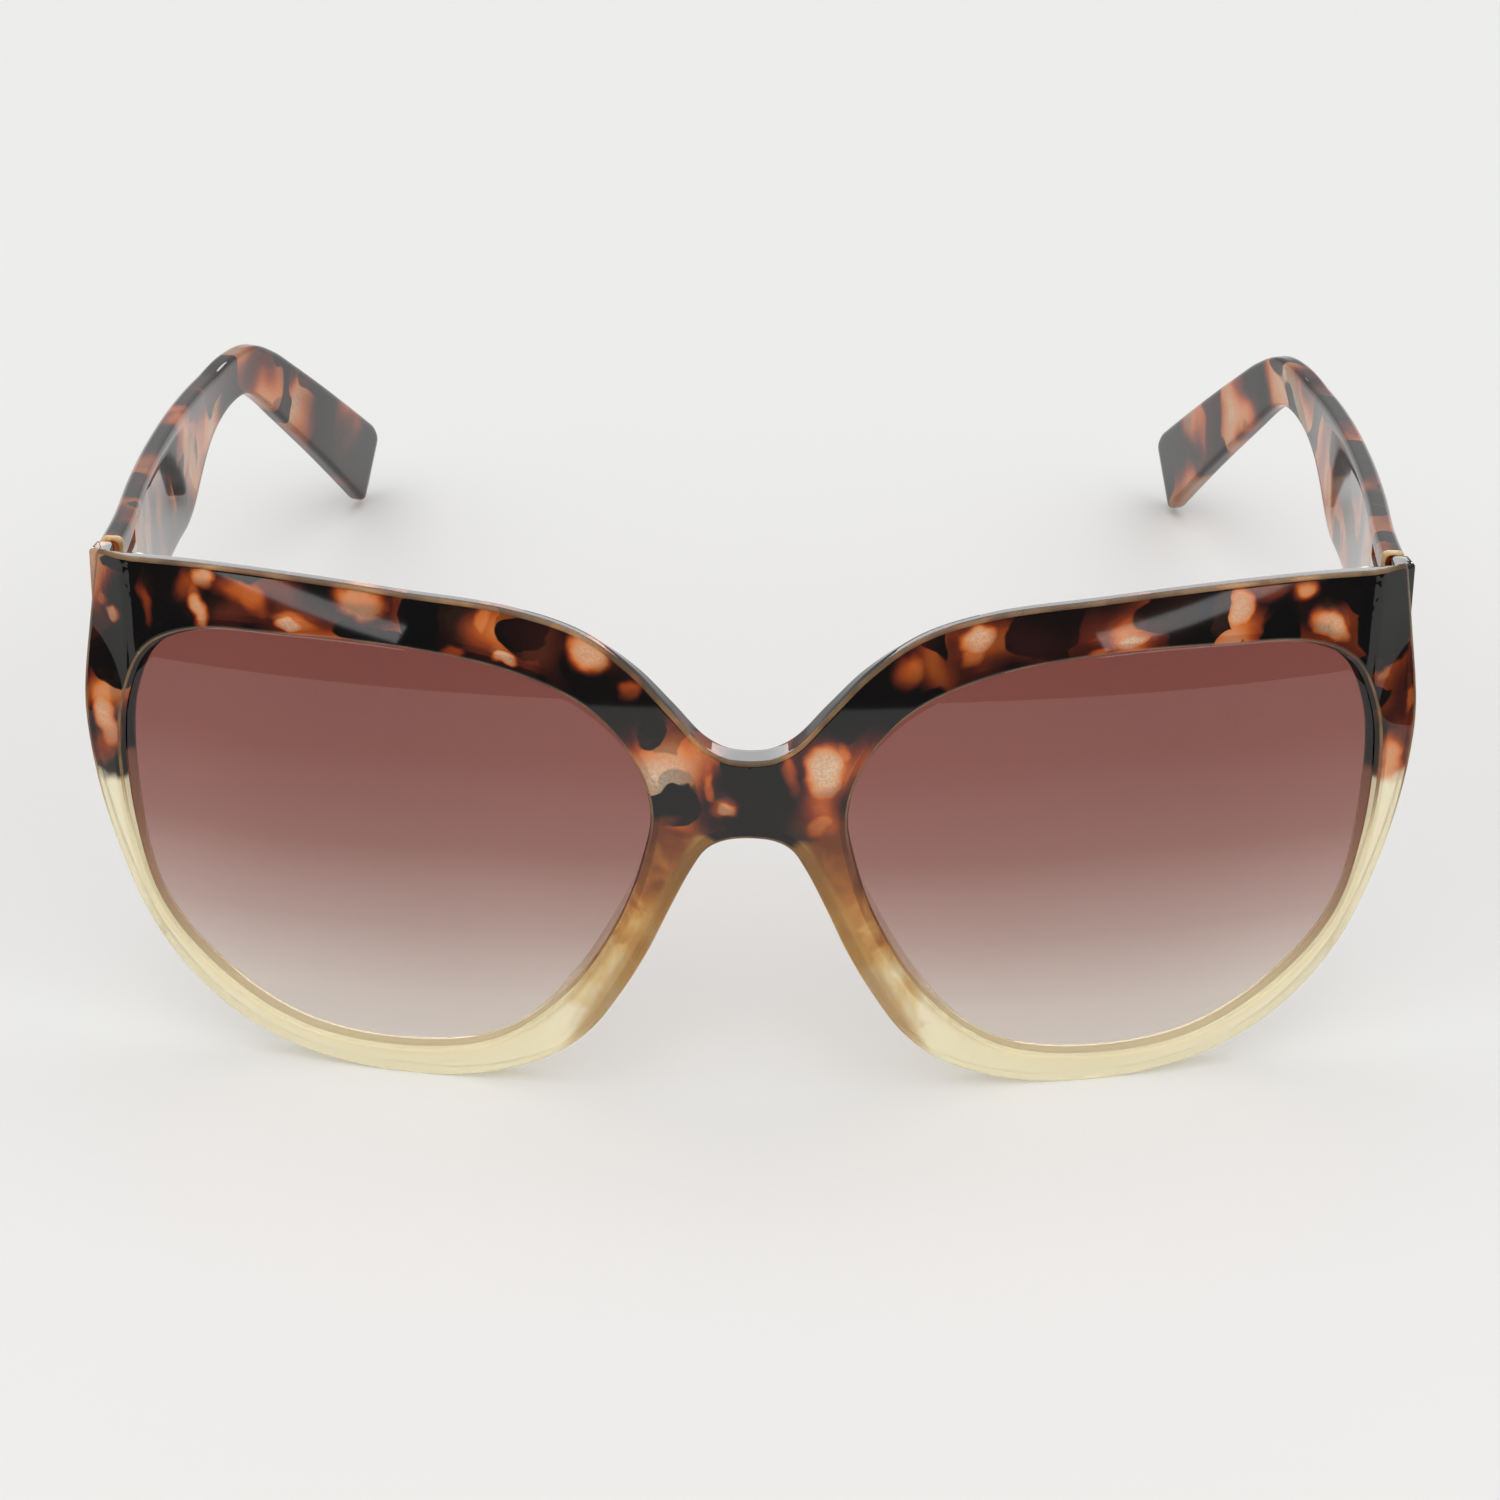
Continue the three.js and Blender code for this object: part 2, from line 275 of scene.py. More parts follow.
def newGroup(name, inputs, outputs):
    # inputs and outputs are (name, socket kind, starting value)
    tree = bpy.data.node_groups.new(name, "ShaderNodeTree")
    for direction, sockets in (("INPUT", inputs), ("OUTPUT", outputs)):
        for socketName, kind, value in sockets:
            kind = "NodeSocket" + kind
            socket = tree.interface.new_socket(socketName, in_out=direction, socket_type=kind)
            if value is not None:
                socket.default_value = value
    return tree, tree.nodes.new("NodeGroupInput").outputs, tree.nodes.new("NodeGroupOutput").inputs


def useGroup(tree, group, **values):
    # values are given by the input's name without its spaces
    made = addNode(tree, "ShaderNodeGroup", node_tree=group)
    for socket in made.inputs:
        given = values.get(socket.name.replace(" ", ""))
        if given is not None:
            feed(tree, socket, given)
    return made.outputs


def newMaterial(name):
    made = bpy.data.materials.new(name)
    made.use_nodes = True
    return made, made.node_tree, made.node_tree.nodes["Principled BSDF"]


def setShader(shader, **values):
    for name, value in values.items():
        shader.inputs[name.replace("_", " ")].default_value = value


front = {
    "thickness": 3.2,
    "rim": [
        (0, 32.3), (2.6, 32.0), (4.7, 30.9), (6.4, 28.3), (8.8, 23.3), (11.1, 18.1), (14.1, 12.6),
        (17.6, 7.5), (21.6, 4.0), (27, 1.6), (33, 0.2), (39, -0.2), (46, 0.4), (53, 2.1), (59, 5.1),
        (64, 9.4), (68.2, 15.1), (71.6, 23.2), (74, 32.4), (75, 42), (74.5, 51.5), (73.2, 60.2),
    ],
    "brow": [
        (73.2, 60.2), (62, 60.8), (50.5, 60.7), (38.5, 60.0), (26.5, 58.9), (18.6, 56.5), (13.2, 52.5),
        (8.6, 47.4), (5.1, 43.4), (2.4, 41.9), (0, 41.6),
    ],
    "opening": [
        (10.9, 35.2), (11.9, 28.6), (14.7, 20.6), (20.3, 11.7), (29, 4.9), (41, 3.0), (52, 4.7),
        (61.2, 10.4), (67.2, 17.6), (70.2, 27.6), (71, 37.2), (70.2, 43.8), (67.4, 49.8), (62, 52.8),
        (52.5, 53.6), (38.5, 53.5), (26.5, 51.6), (17.6, 47.4), (12.6, 41.1),
    ],
    "edgePoints": 420,
    "centrePoints": 18,
    # rows across the face, crowded by these shares of the way at both edges
    "faceRows": 18,
    "faceCrowding": (0.03, 0.08),
    "wallRows": 10,
    "edgeRadius": 0.42,
    "openingRadius": 0.28,
    "cornerSoftness": 1.0,
    # the brow's top stays level, then falls away to the back; the bridge keeps a square top
    "browFlat": 1.2,
    "browSlope": 0.8,
    "squareTopTo": 5.0,
    "slopingTopFrom": 20.0,
    # a crease near each top corner, with the corner turned back beyond it
    "creaseAcross": 69.3,
    "creaseTurn": 0.34,
    "creaseFrom": 40.0,
    "creaseFull": 55.0,
    "creaseSoftness": 0.12,
    "creaseGroove": (0.14, 0.22),
    # the lens groove, in depth and out from the opening
    "groove": (0.62, 2.58, 0.9),
    # the least depth of wall behind the groove, and how much it grows over the back's rounding
    "lipBehindGroove": (0.12, 0.1),
    # the opening narrows to the back: before the lens and behind it, and more towards the temples
    "draft": (0.12, 0.14),
    "outerDraft": (0.30, 0.75),
    "outerDraftFrom": (52.0, 70.0),
    "outerDraftAbove": (18.0, 34.0),
    # the nose pads' extra depth by height, on the rims beside the nose
    "pad": [
        (2.6, 0.0), (5.6, 1.3), (10.6, 3.2), (15.5, 4.4), (20.5, 4.5), (25.5, 3.3), (30.0, 1.6),
        (34.0, 0.4), (36.5, 0.0),
    ],
    "padFull": 19.0,
    "padEnd": 27.0,
    "padRounding": 1.5,
    "padRoundingFull": 2.5,
    # how far the drawing's few points below the table are eased up to it
    "footEase": 0.02,
    # softens the places where the outer line is tied to the opening, in points
    "tieSpread": 7.0,
}
lensCentre = np.array([41.0, 30.0])


def onFront(flat, depth):
    # a point of the drawing (across, up) at a depth behind the front's face
    flat = np.asarray(flat, float)
    depth = np.broadcast_to(depth, flat.shape[:1])
    angle = np.arcsin(flat[:, 0] / placing["wrapRadius"])
    radius = placing["wrapRadius"] - depth
    back = placing["wrapRadius"] - radius * np.cos(angle)
    up = (flat[:, 1] + np.sqrt(flat[:, 1] ** 2 + front["footEase"])) / 2
    return np.stack([radius * np.sin(angle), back + leanSlope * up - placing["depthToCentre"], up], axis=1)


def creaseDepth(flat):
    beyond = np.abs(flat[:, 0]) - front["creaseAcross"]
    ramped = np.logaddexp(0, beyond / front["creaseSoftness"]) * front["creaseSoftness"]
    deep, wide = front["creaseGroove"]
    groove = deep * np.exp(-((beyond / wide) ** 2))
    shown = smoothStep(flat[:, 1], front["creaseFrom"], front["creaseFull"])
    return (ramped * front["creaseTurn"] + groove) * shown


def padDepth(flat):
    heights, depths = zip(*front["pad"])
    grown = np.interp(flat[:, 1], heights, depths)
    return grown * (1 - smoothStep(flat[:, 0], front["padFull"], front["padEnd"]))


def browFall(flat, normal, depth):
    # how far the brow's top edge has come down at this depth
    square = 1 - smoothStep(np.abs(flat[:, 0]), front["squareTopTo"], front["slopingTopFrom"])
    facingUp = np.clip(normal[:, 1], 0, 1)
    return np.maximum(depth - front["browFlat"], 0) * front["browSlope"] * (1 - square) * facingUp


def makeFront(materials):
    half = evenly(
        np.vstack([splineThrough(front["rim"]), splineThrough(front["brow"])[1:]]), front["edgePoints"]
    )
    whole = np.vstack([half, half[-2:0:-1] * (-1, 1)])
    whole = softened(whole, front["cornerSoftness"])
    normals = outward(whole)[: len(half)]
    edge = whole[: len(half)]
    edge[[0, -1], 0] = 0
    normals[[0, -1]] = (0, -1), (0, 1)
    opening = evenly(splineThrough(front["opening"], closed=True), front["edgePoints"], closed=True)
    opening = softened(opening, front["cornerSoftness"])
    openingOut = outward(opening)

    radius = front["edgeRadius"]
    inset = edge - normals * radius
    inset[[0, -1], 0] = 0
    centreUp = np.linspace(inset[-1][1], inset[0][1], front["centrePoints"])
    centreLine = np.stack([np.zeros(len(centreUp)), centreUp], axis=1)[1:-1]
    loop = np.vstack([inset, centreLine])

    # each point of the outer loop is tied to one of the opening, by its direction from the lens's middle
    def bearing(points):
        return np.unwrap(np.arctan2(points[:, 1] - lensCentre[1], points[:, 0] - lensCentre[0]))

    fullTurn = 2 * math.pi
    openAngle = bearing(opening)
    edgeAngle = bearing(loop)
    edgeAngle += fullTurn * round((openAngle[0] - edgeAngle[0]) / fullTurn)
    spaced = np.arange(len(opening), dtype=float)
    angles = np.concatenate([openAngle - fullTurn, openAngle, openAngle + fullTurn])
    places = np.concatenate([spaced - len(opening), spaced, spaced + len(opening)])
    tie = np.interp(edgeAngle, angles, places)
    trend = np.arange(len(loop)) * len(opening) / len(loop)
    tie = softened((tie - trend)[:, None], front["tieSpread"])[:, 0] + trend

    def openingAt(offset):
        ring = opening + openingOut * offset
        wrapped = np.vstack([ring, ring[:1]])
        place = np.mod(tie, len(ring))
        return np.stack([np.interp(place, np.arange(len(ring) + 1), wrapped[:, k]) for k in (0, 1)], axis=1)

    thickness = front["thickness"]
    smallRadius = front["openingRadius"]
    padRound = front["padRounding"]
    rounding = quarterRound()

    def backDepth(flat):
        return thickness + padDepth(flat)

    close, regular = front["faceCrowding"]
    spread = np.linspace(regular, 1 - regular, front["faceRows"])
    shares = np.concatenate([[0, close], spread, [1 - close, 1]])
    innerRing = openingAt(smallRadius)
    mesh = bmesh.new()

    face = []
    for share in shares:
        flat = innerRing * (1 - share) + loop * share
        face.append(onFront(flat, creaseDepth(flat)))
    addGrid(mesh, face, True)

    # the back keeps clear of both edges by their rounding, which grows with the nose pads
    def backRounding(flat, small):
        return small + (padRound - small) * smoothStep(padDepth(flat), 0.0, front["padRoundingFull"])

    backLoopNormal = np.vstack([normals, np.zeros((len(centreLine), 2))])
    onCentre = np.zeros(len(loop), bool)
    onCentre[len(edge):] = True
    edgeAll = np.vstack([edge, centreLine])
    outerRound = np.where(onCentre, radius, backRounding(edgeAll, radius))
    outerInset = edgeAll - backLoopNormal * outerRound[:, None]
    fall = browFall(edgeAll, backLoopNormal, thickness)
    outerInset[:, 1] -= fall
    outerInset[[0, len(edge) - 1], 0] = 0
    plainOpening = openingAt(0.0)
    innerRound = backRounding(plainOpening, smallRadius)
    towardsTemple = smoothStep(plainOpening[:, 0], *front["outerDraftFrom"])
    towardsTemple = (towardsTemple * smoothStep(plainOpening[:, 1], *front["outerDraftAbove"]))[:, None]
    outDirection = openingAt(1.0) - plainOpening
    drafts = zip(front["draft"], front["outerDraft"])
    narrowFront, narrowBack = (outDirection * (-plain - more * towardsTemple) for plain, more in drafts)
    innerInset = plainOpening + narrowBack + outDirection * innerRound[:, None]
    back = []
    for share in shares:
        flat = innerInset * (1 - share) + outerInset * share
        back.append(onFront(flat, backDepth(flat)))
    addGrid(mesh, back, True)

    # outer wall, from the face's rounding to the back's
    wallRows = []
    for away, deep in rounding:
        flat = edge - normals * radius * away
        flat[[0, -1], 0] = 0
        wallRows.append(onFront(flat, creaseDepth(flat) + radius * deep))
    edgeRound = outerRound[: len(edge)]
    fullDepth = backDepth(outerInset[: len(edge)])
    for share in np.linspace(0, 1, front["wallRows"])[1:-1]:
        depth = (creaseDepth(edge) + radius) * (1 - share) + (fullDepth - edgeRound) * share
        flat = edge.copy()
        flat[:, 1] -= browFall(edge, normals, depth)
        wallRows.append(onFront(flat, depth))
    for away, deep in rounding[::-1]:
        flat = edge - normals * (edgeRound * away)[:, None]
        depth = fullDepth - edgeRound * deep
        flat[:, 1] -= browFall(edge, normals, np.minimum(depth, thickness))
        flat[[0, -1], 0] = 0
        wallRows.append(onFront(flat, depth))
    # only the rounding beside the face shows the bare base
    bare = len(rounding)
    addGrid(mesh, wallRows[:bare], False, material=1)
    addGrid(mesh, wallRows[bare - 1:], False)

    # the opening's wall with the lens groove
    holeRows = []
    holeCrease = creaseDepth(innerRing)
    for away, deep in rounding:
        holeRows.append(onFront(openingAt(smallRadius * away), holeCrease + smallRadius * deep))
    grooveFront, grooveBack, grooveOut = front["groove"]
    holeRows.append(onFront(plainOpening + narrowFront, grooveFront))
    holeRows.append(onFront(openingAt(grooveOut), grooveFront))
    holeRows.append(onFront(openingAt(grooveOut), grooveBack))
    holeRows.append(onFront(plainOpening + narrowBack, grooveBack))
    innerFull = backDepth(innerInset)
    lip, lipSlope = front["lipBehindGroove"]
    for away, deep in rounding[::-1]:
        flat = plainOpening + narrowBack + outDirection * (innerRound * away)[:, None]
        depth = np.maximum(innerFull - innerRound * deep, grooveBack + lip + lipSlope * away)
        holeRows.append(onFront(flat, depth))
    addGrid(mesh, holeRows[:bare], True, material=1)
    addGrid(mesh, holeRows[bare - 1:], True)

    tidyMesh(mesh)
    twin = mesh.copy()
    bmesh.ops.scale(twin, vec=(-1, 1, 1), verts=twin.verts)
    bmesh.ops.reverse_faces(twin, faces=twin.faces)
    spare = bpy.data.meshes.new("spare")
    twin.to_mesh(spare)
    twin.free()
    mesh.from_mesh(spare)
    bpy.data.meshes.remove(spare)
    tidyMesh(mesh)
    loose = sum(len(e.link_faces) != 2 for e in mesh.edges)
    print("front: points", len(mesh.verts), "open or crowded edges", loose)
    return finishMesh(mesh, "frontMoulding", materials)


# the corner blocks that the temples close against
lug = {
    "plan": [(71.2, 11.2), (73.7, 13.2), (73.15, 15.25), (71.05, 15.25)],
    "rounding": (0.2, 0.2, 0.35, 0.85),
    "bottom": 43.7,
    "top": 59.7,
    "edgeRadius": 0.5,
    "weld": 0.0004,
}


def roundedPlan(corners, radii, steps=7):
    made = []
    count = len(corners)
    for i, corner in enumerate(corners):
        corner = np.array(corner, float)
        toBefore = np.array(corners[i - 1], float) - corner
        toAfter = np.array(corners[(i + 1) % count], float) - corner
        start = corner + toBefore / np.linalg.norm(toBefore) * radii[i]
        end = corner + toAfter / np.linalg.norm(toAfter) * radii[i]
        for t in np.linspace(0, 1, steps):
            made.append((1 - t) ** 2 * start + 2 * t * (1 - t) * corner + t * t * end)
    return np.array(made)


def makeLug(side):
    plan = roundedPlan(lug["plan"], lug["rounding"])
    normal = outward(plan)
    mesh = bmesh.new()
    rows = []
    radius = lug["edgeRadius"]
    low = [(lug["bottom"] + radius * deep, away) for away, deep in quarterRound()]
    high = [(lug["top"] - radius * deep, away) for away, deep in quarterRound()][::-1]
    for up, away in low + high:
        flat = plan - normal * radius * away
        flat[:, 1] += leanSlope * up - placing["depthToCentre"]
        rows.append([(side * x, y, up) for x, y in flat])
    made = addGrid(mesh, rows, True)
    mesh.faces.new(made[0])
    mesh.faces.new(made[-1])
    tidyMesh(mesh, lug["weld"])
    return finishMesh(mesh, "lug", [])


# the hinge's axis leans with the front
hinge = {
    "across": 68.75,
    "depth": 15.4,
    "height": 53.7,
    "span": 6.6,
    "fit": 0.15,
    "knuckleRadius": 1.3,
    "frontLeaf": {"inner": -0.8, "outer": 2.05, "front": -3.4},
    "templeLeaf": {"outer": 2.35, "back": 9.0},
    # the CAD metal's softened edges
    "bevel": {"width": 0.06, "segments": 2, "degrees": 35},
    # how far each temple stands folded in, in degrees
    "swing": {"right": 0.6, "left": -1.2},
}


def hingeMatrix(side, swing=0.0):
    back = hinge["depth"] + leanSlope * hinge["height"] - placing["depthToCentre"]
    place = Matrix.Translation((hinge["across"], back, hinge["height"]))
    tilt = Matrix.Rotation(-math.atan(leanSlope), 4, "X")
    turn = Matrix.Rotation(math.radians(swing), 4, "Z")
    return Matrix.Scale(side, 4, (1, 0, 0)) @ place @ tilt @ turn


def hingePocket(side, low, high, swing=0.0):
    cutter = boxObject(low, high, hingeMatrix(side, swing))
    if side < 0:
        cutter.data.flip_normals()
    return cutter


temple = {
    "gap": 15.55,
    "thickness": 2.6,
    "edgeRadius": 0.75,
    "endRadius": 0.45,
    # the tip's lower and upper corners
    "tipRadius": (3.2, 5.6),
    "boardTop": 59.9,
    "boardBottom": 43.7,
    # the bend behind the ear, along the top line and along the bottom one
    "bend": [(95, 43.5), (103.6, 42.2), (111.0, 40.1), (117.1, 36.1)],
    "crook": [
        (68, 33.8), (74.5, 32.4), (79.5, 32.5), (84, 33.9), (90, 35.7), (96.5, 36.4), (103, 36.0),
        (108, 34.5), (111.7, 31.6),
    ],
    "tipTop": (150.5, 7.35),
    "heel": (143.75, -1.03),
    "plan": [
        (15, 70.2), (30, 70.25), (46, 71.0), (62, 71.3), (80, 70.9), (95, 69.6), (107, 67.3), (116, 64.5),
        (130, 59.9), (144, 55.8), (158, 52),
    ],
    # share of the length, and the places on the top and bottom lines that face each other there
    "ties": [
        (0.3, (58.0, 51.4), (56.5, 37.6)),
        (0.52, (88.0, 45.1), (88.5, 35.6)),
        (0.66, (108.5, 40.2), (103.5, 36.6)),
        (0.74, (118.0, 34.4), (112.2, 32.0)),
    ],
    # points along a line, and how many of them a bend is eased over
    "easing": (600, 5.0),
    "tieEasing": (400, 9.0),
    "length": 150.0,
    # plain sections, between these shares of the length
    "sections": 210,
    "between": (0.004, 0.982),
    "faceSteps": 14,
    "tipSteps": 12,
    # rows of the pale trim at the front end: the champagne base with a painted highlight of the rounded
    # edge
    "trimRows": 7,
    # the tip's corners thin the board by at most this share, and leave a flat and a radius
    "tipThinning": 0.4,
    "leastFlat": 0.05,
    "leastRadius": 0.02,
}


def frontCorners():
    # the board's top and bottom corners at the gap beside the front
    return [(temple["gap"] + leanSlope * up, up) for up in (temple["boardTop"], temple["boardBottom"])]


def easedOpen(line, spread):
    # an open line's bends made gentler, with both ends kept where they are
    reach = len(line) // 10
    padded = np.vstack([2 * line[0] - line[reach:0:-1], line, 2 * line[-1] - line[-2 : -reach - 2 : -1]])
    return softened(padded, spread)[reach:-reach]


def templeEdges():
    # the top and bottom lines in side view, with the same number of points
    count, spread = temple["easing"]
    drawn = zip(frontCorners(), (temple["bend"], temple["crook"]), (temple["tipTop"], temple["heel"]))
    lines = [np.vstack([[start], splineThrough(bend), [tip]]) for start, bend, tip in drawn]
    return [easedOpen(evenly(line, count), spread) for line in lines]


def matchedStations():
    # pairs of places on both lines: straight across at the front, square to the tip at the end
    top, bottom = templeEdges()
    anchors = [(0.0, *frontCorners()), *temple["ties"], (1.0, temple["tipTop"], temple["heel"])]

    def nearest(line, point):
        return int(np.argmin(np.linalg.norm(line - np.array(point), axis=1)))

    shares = [a[0] for a in anchors]
    topPlaces = [nearest(top, a[1]) for a in anchors]
    bottomPlaces = [nearest(bottom, a[2]) for a in anchors]
    # stations crowd together at both ends, where the ends are rounded
    middle = np.linspace(*temple["between"], temple["sections"])

    def crowded(radius, steps):
        return radius / temple["length"] * np.array([deep for _, deep in quarterRound(steps)])

    tip = 1 - crowded(max(temple["tipRadius"]), temple["tipSteps"])
    along = np.unique(np.concatenate([crowded(temple["endRadius"], 6), middle, tip]))

    def tied(places):
        count, spread = temple["tieEasing"]
        fine = np.linspace(0, 1, count)
        line = easedOpen(np.interp(fine, shares, places)[:, None], spread)[:, 0]
        line[0], line[-1] = places[0], places[-1]
        return np.interp(along, fine, line)

    def pick(line, places):
        index = np.arange(len(line))
        return np.stack([np.interp(places, index, line[:, k]) for k in (0, 1)], axis=1)

    return along, pick(top, tied(topPlaces)), pick(bottom, tied(bottomPlaces))


def roundedSection(tall, shortLow, shortHigh, thin, radius):
    # once round the board's section, as (up the section, out from the inner face)
    width = temple["thickness"]
    loop = []
    corners = (
        (shortLow + radius, thin + radius, 270, 3),
        (shortLow + radius, width - thin - radius, 180, temple["faceSteps"]),
        (tall - shortHigh - radius, width - thin - radius, 90, 3),
        (tall - shortHigh - radius, thin + radius, 0, temple["faceSteps"]),
    )
    for i, (v, t, start, steps) in enumerate(corners):
        for turned in np.linspace(start, start - 90, 6):
            angle = math.radians(turned)
            loop.append(np.array([v + radius * math.cos(angle), t + radius * math.sin(angle)]))
        nextV, nextT, nextStart, _ = corners[(i + 1) % 4]
        angle = math.radians(nextStart)
        goal = np.array([nextV + radius * math.cos(angle), nextT + radius * math.sin(angle)])
        here = loop[-1]
        loop += [here + (goal - here) * s for s in np.linspace(0, 1, steps + 2)[1:-1]]
    return loop


def drawnIn(distance, radius):
    # how far a rounded end stands inside the straight side, this far from the end
    ease = 1 - min(distance / radius, 1)
    return radius * (1 - math.sqrt(max(0.0, 1 - ease * ease)))


def makeTemple(name, side, materials):
    along, top, bottom = matchedStations()
    plan = splineThrough([(y, x) for y, x in temple["plan"]])
    slopes = np.gradient(plan[:, 1], plan[:, 0])
    width = temple["thickness"]
    mesh = bmesh.new()
    rows = []
    for share, high, low in zip(along, top, bottom):
        rise = high - low
        tall = float(np.linalg.norm(rise))
        frontEnd = drawnIn(share * temple["length"], temple["endRadius"])
        tipLow, tipHigh = (drawnIn((1 - share) * temple["length"], r) for r in temple["tipRadius"])
        thin = max(frontEnd, min(tipLow, width * temple["tipThinning"]))
        radius = min(temple["edgeRadius"], width / 2 - thin - temple["leastFlat"])
        radius = max(radius, temple["leastRadius"])
        row = []
        for v, t in roundedSection(tall, max(frontEnd, tipLow), max(frontEnd, tipHigh), thin, radius):
            back, up = low + rise * (v / tall)
            across = np.interp(back, plan[:, 0], plan[:, 1])
            slope = np.interp(back, plan[:, 0], slopes)
            size = math.hypot(1, slope)
            row.append((across + t / size, back - t * slope / size - placing["depthToCentre"], up))
        rows.append(row)
    # these first rows carry the pale end trim, partly a painted highlight of the rounded edge
    trim = temple["trimRows"]
    made = addGrid(mesh, rows[:trim], True, material=1)
    addGrid(mesh, rows[trim - 1:], True)
    cap = len(mesh.verts) - len(rows[-1])
    mesh.verts.ensure_lookup_table()
    mesh.faces.new(made[0])
    mesh.faces.new(mesh.verts[cap:])
    swing = hingeMatrix(1, hinge["swing"][name]) @ hingeMatrix(1).inverted()
    bmesh.ops.transform(mesh, matrix=swing, verts=mesh.verts)
    if side < 0:
        bmesh.ops.scale(mesh, vec=(-1, 1, 1), verts=mesh.verts)
    tidyMesh(mesh)
    return finishMesh(mesh, "temple_" + name + "_board", materials)


lens = {
    "thickness": 1.6,
    "setback": 0.8,
    "overlap": 0.7,
    "edgeRadius": 0.2,
    "points": 260,
    "rings": 16,
    # the rings' shares of the way out from the middle
    "ringFrom": 0.04,
    "ringSpread": 0.8,
}


def makeLens(name, side, materials):
    outline = evenly(splineThrough(front["opening"], closed=True), lens["points"], closed=True)
    outline = outline + outward(outline) * lens["overlap"]
    radius = lens["edgeRadius"]
    inward = -outward(outline) * radius
    spokes = outline + inward - lensCentre
    rings = np.linspace(lens["ringFrom"], 1, lens["rings"]) ** lens["ringSpread"]
    nearSide, farSide = lens["setback"], lens["setback"] + lens["thickness"]
    rows = [onFront(lensCentre + spokes * r, nearSide) for r in rings]
    rounding = quarterRound(5)
    rows += [onFront(outline + inward * away, nearSide + radius * deep) for away, deep in rounding]
    rows += [onFront(outline + inward * away, farSide - radius * deep) for away, deep in rounding[::-1]]
    rows += [onFront(lensCentre + spokes * r, farSide) for r in rings[::-1]]
    mesh = bmesh.new()
    made = addGrid(mesh, rows, True)
    for end, depth in ((made[0], nearSide), (made[-1], farSide)):
        hub = mesh.verts.new(onFront(lensCentre[None], depth)[0])
        for i, vert in enumerate(end):
            mesh.faces.new((hub, vert, end[(i + 1) % len(end)]))
    if side < 0:
        bmesh.ops.scale(mesh, vec=(-1, 1, 1), verts=mesh.verts)
    tidyMesh(mesh)
    return finishMesh(mesh, "lens_" + name + "_tinted", materials)


# clouded plastic, from near black through red brown and amber to cream
tortoise = {
    "stops": [
        (0.0, (0.0026, 0.0018, 0.0016)),
        (0.42, (0.0040, 0.0022, 0.0018)),
        (0.46, (0.020, 0.005, 0.0042)),
        (0.52, (0.085, 0.014, 0.008)),
        (0.58, (0.27, 0.042, 0.010)),
        (0.63, (0.58, 0.12, 0.016)),
        (0.69, (0.82, 0.27, 0.075)),
        (0.77, (0.86, 0.46, 0.25)),
        (0.88, (0.92, 0.72, 0.50)),
        (1.0, (0.95, 0.85, 0.66)),
    ],
    "darkStops": [
        (0.42, (0.0018, 0.0014, 0.0014)),
        (0.54, (0.004, 0.0018, 0.0016)),
        (0.64, (0.030, 0.007, 0.005)),
    ],
    # how far the clouds are pulled about, in mm, and the size of the pull
    "bend": 9.0,
    "bendScale": 0.8,
    "cloudDetail": (1.2, 0.45),
    "contrast": 1.35,
    "amberWarmth": 0.625,
    "creamWarmth": 0.785,
    "unevenness": 0.45,
    "islandEdge": (0.545, 0.560),
    "islandScale": 1.15,
    "islandDetail": (1.0, 0.4),
    "islandSpared": 0.2,
    # moves the islands' noise away from the clouds'
    "islandPlace": (37.0, 11.0, 53.0),
    "thinScale": 0.6,
    "paleFrom": (0.66, 0.80),
    "grainScale": 3.2,
    "grainDetail": (2.0, 0.7),
    "grainFrom": (0.40, 0.62),
    "grainColour": (0.60, 0.30, 0.17, 1),
    "grainShare": 0.45,
}


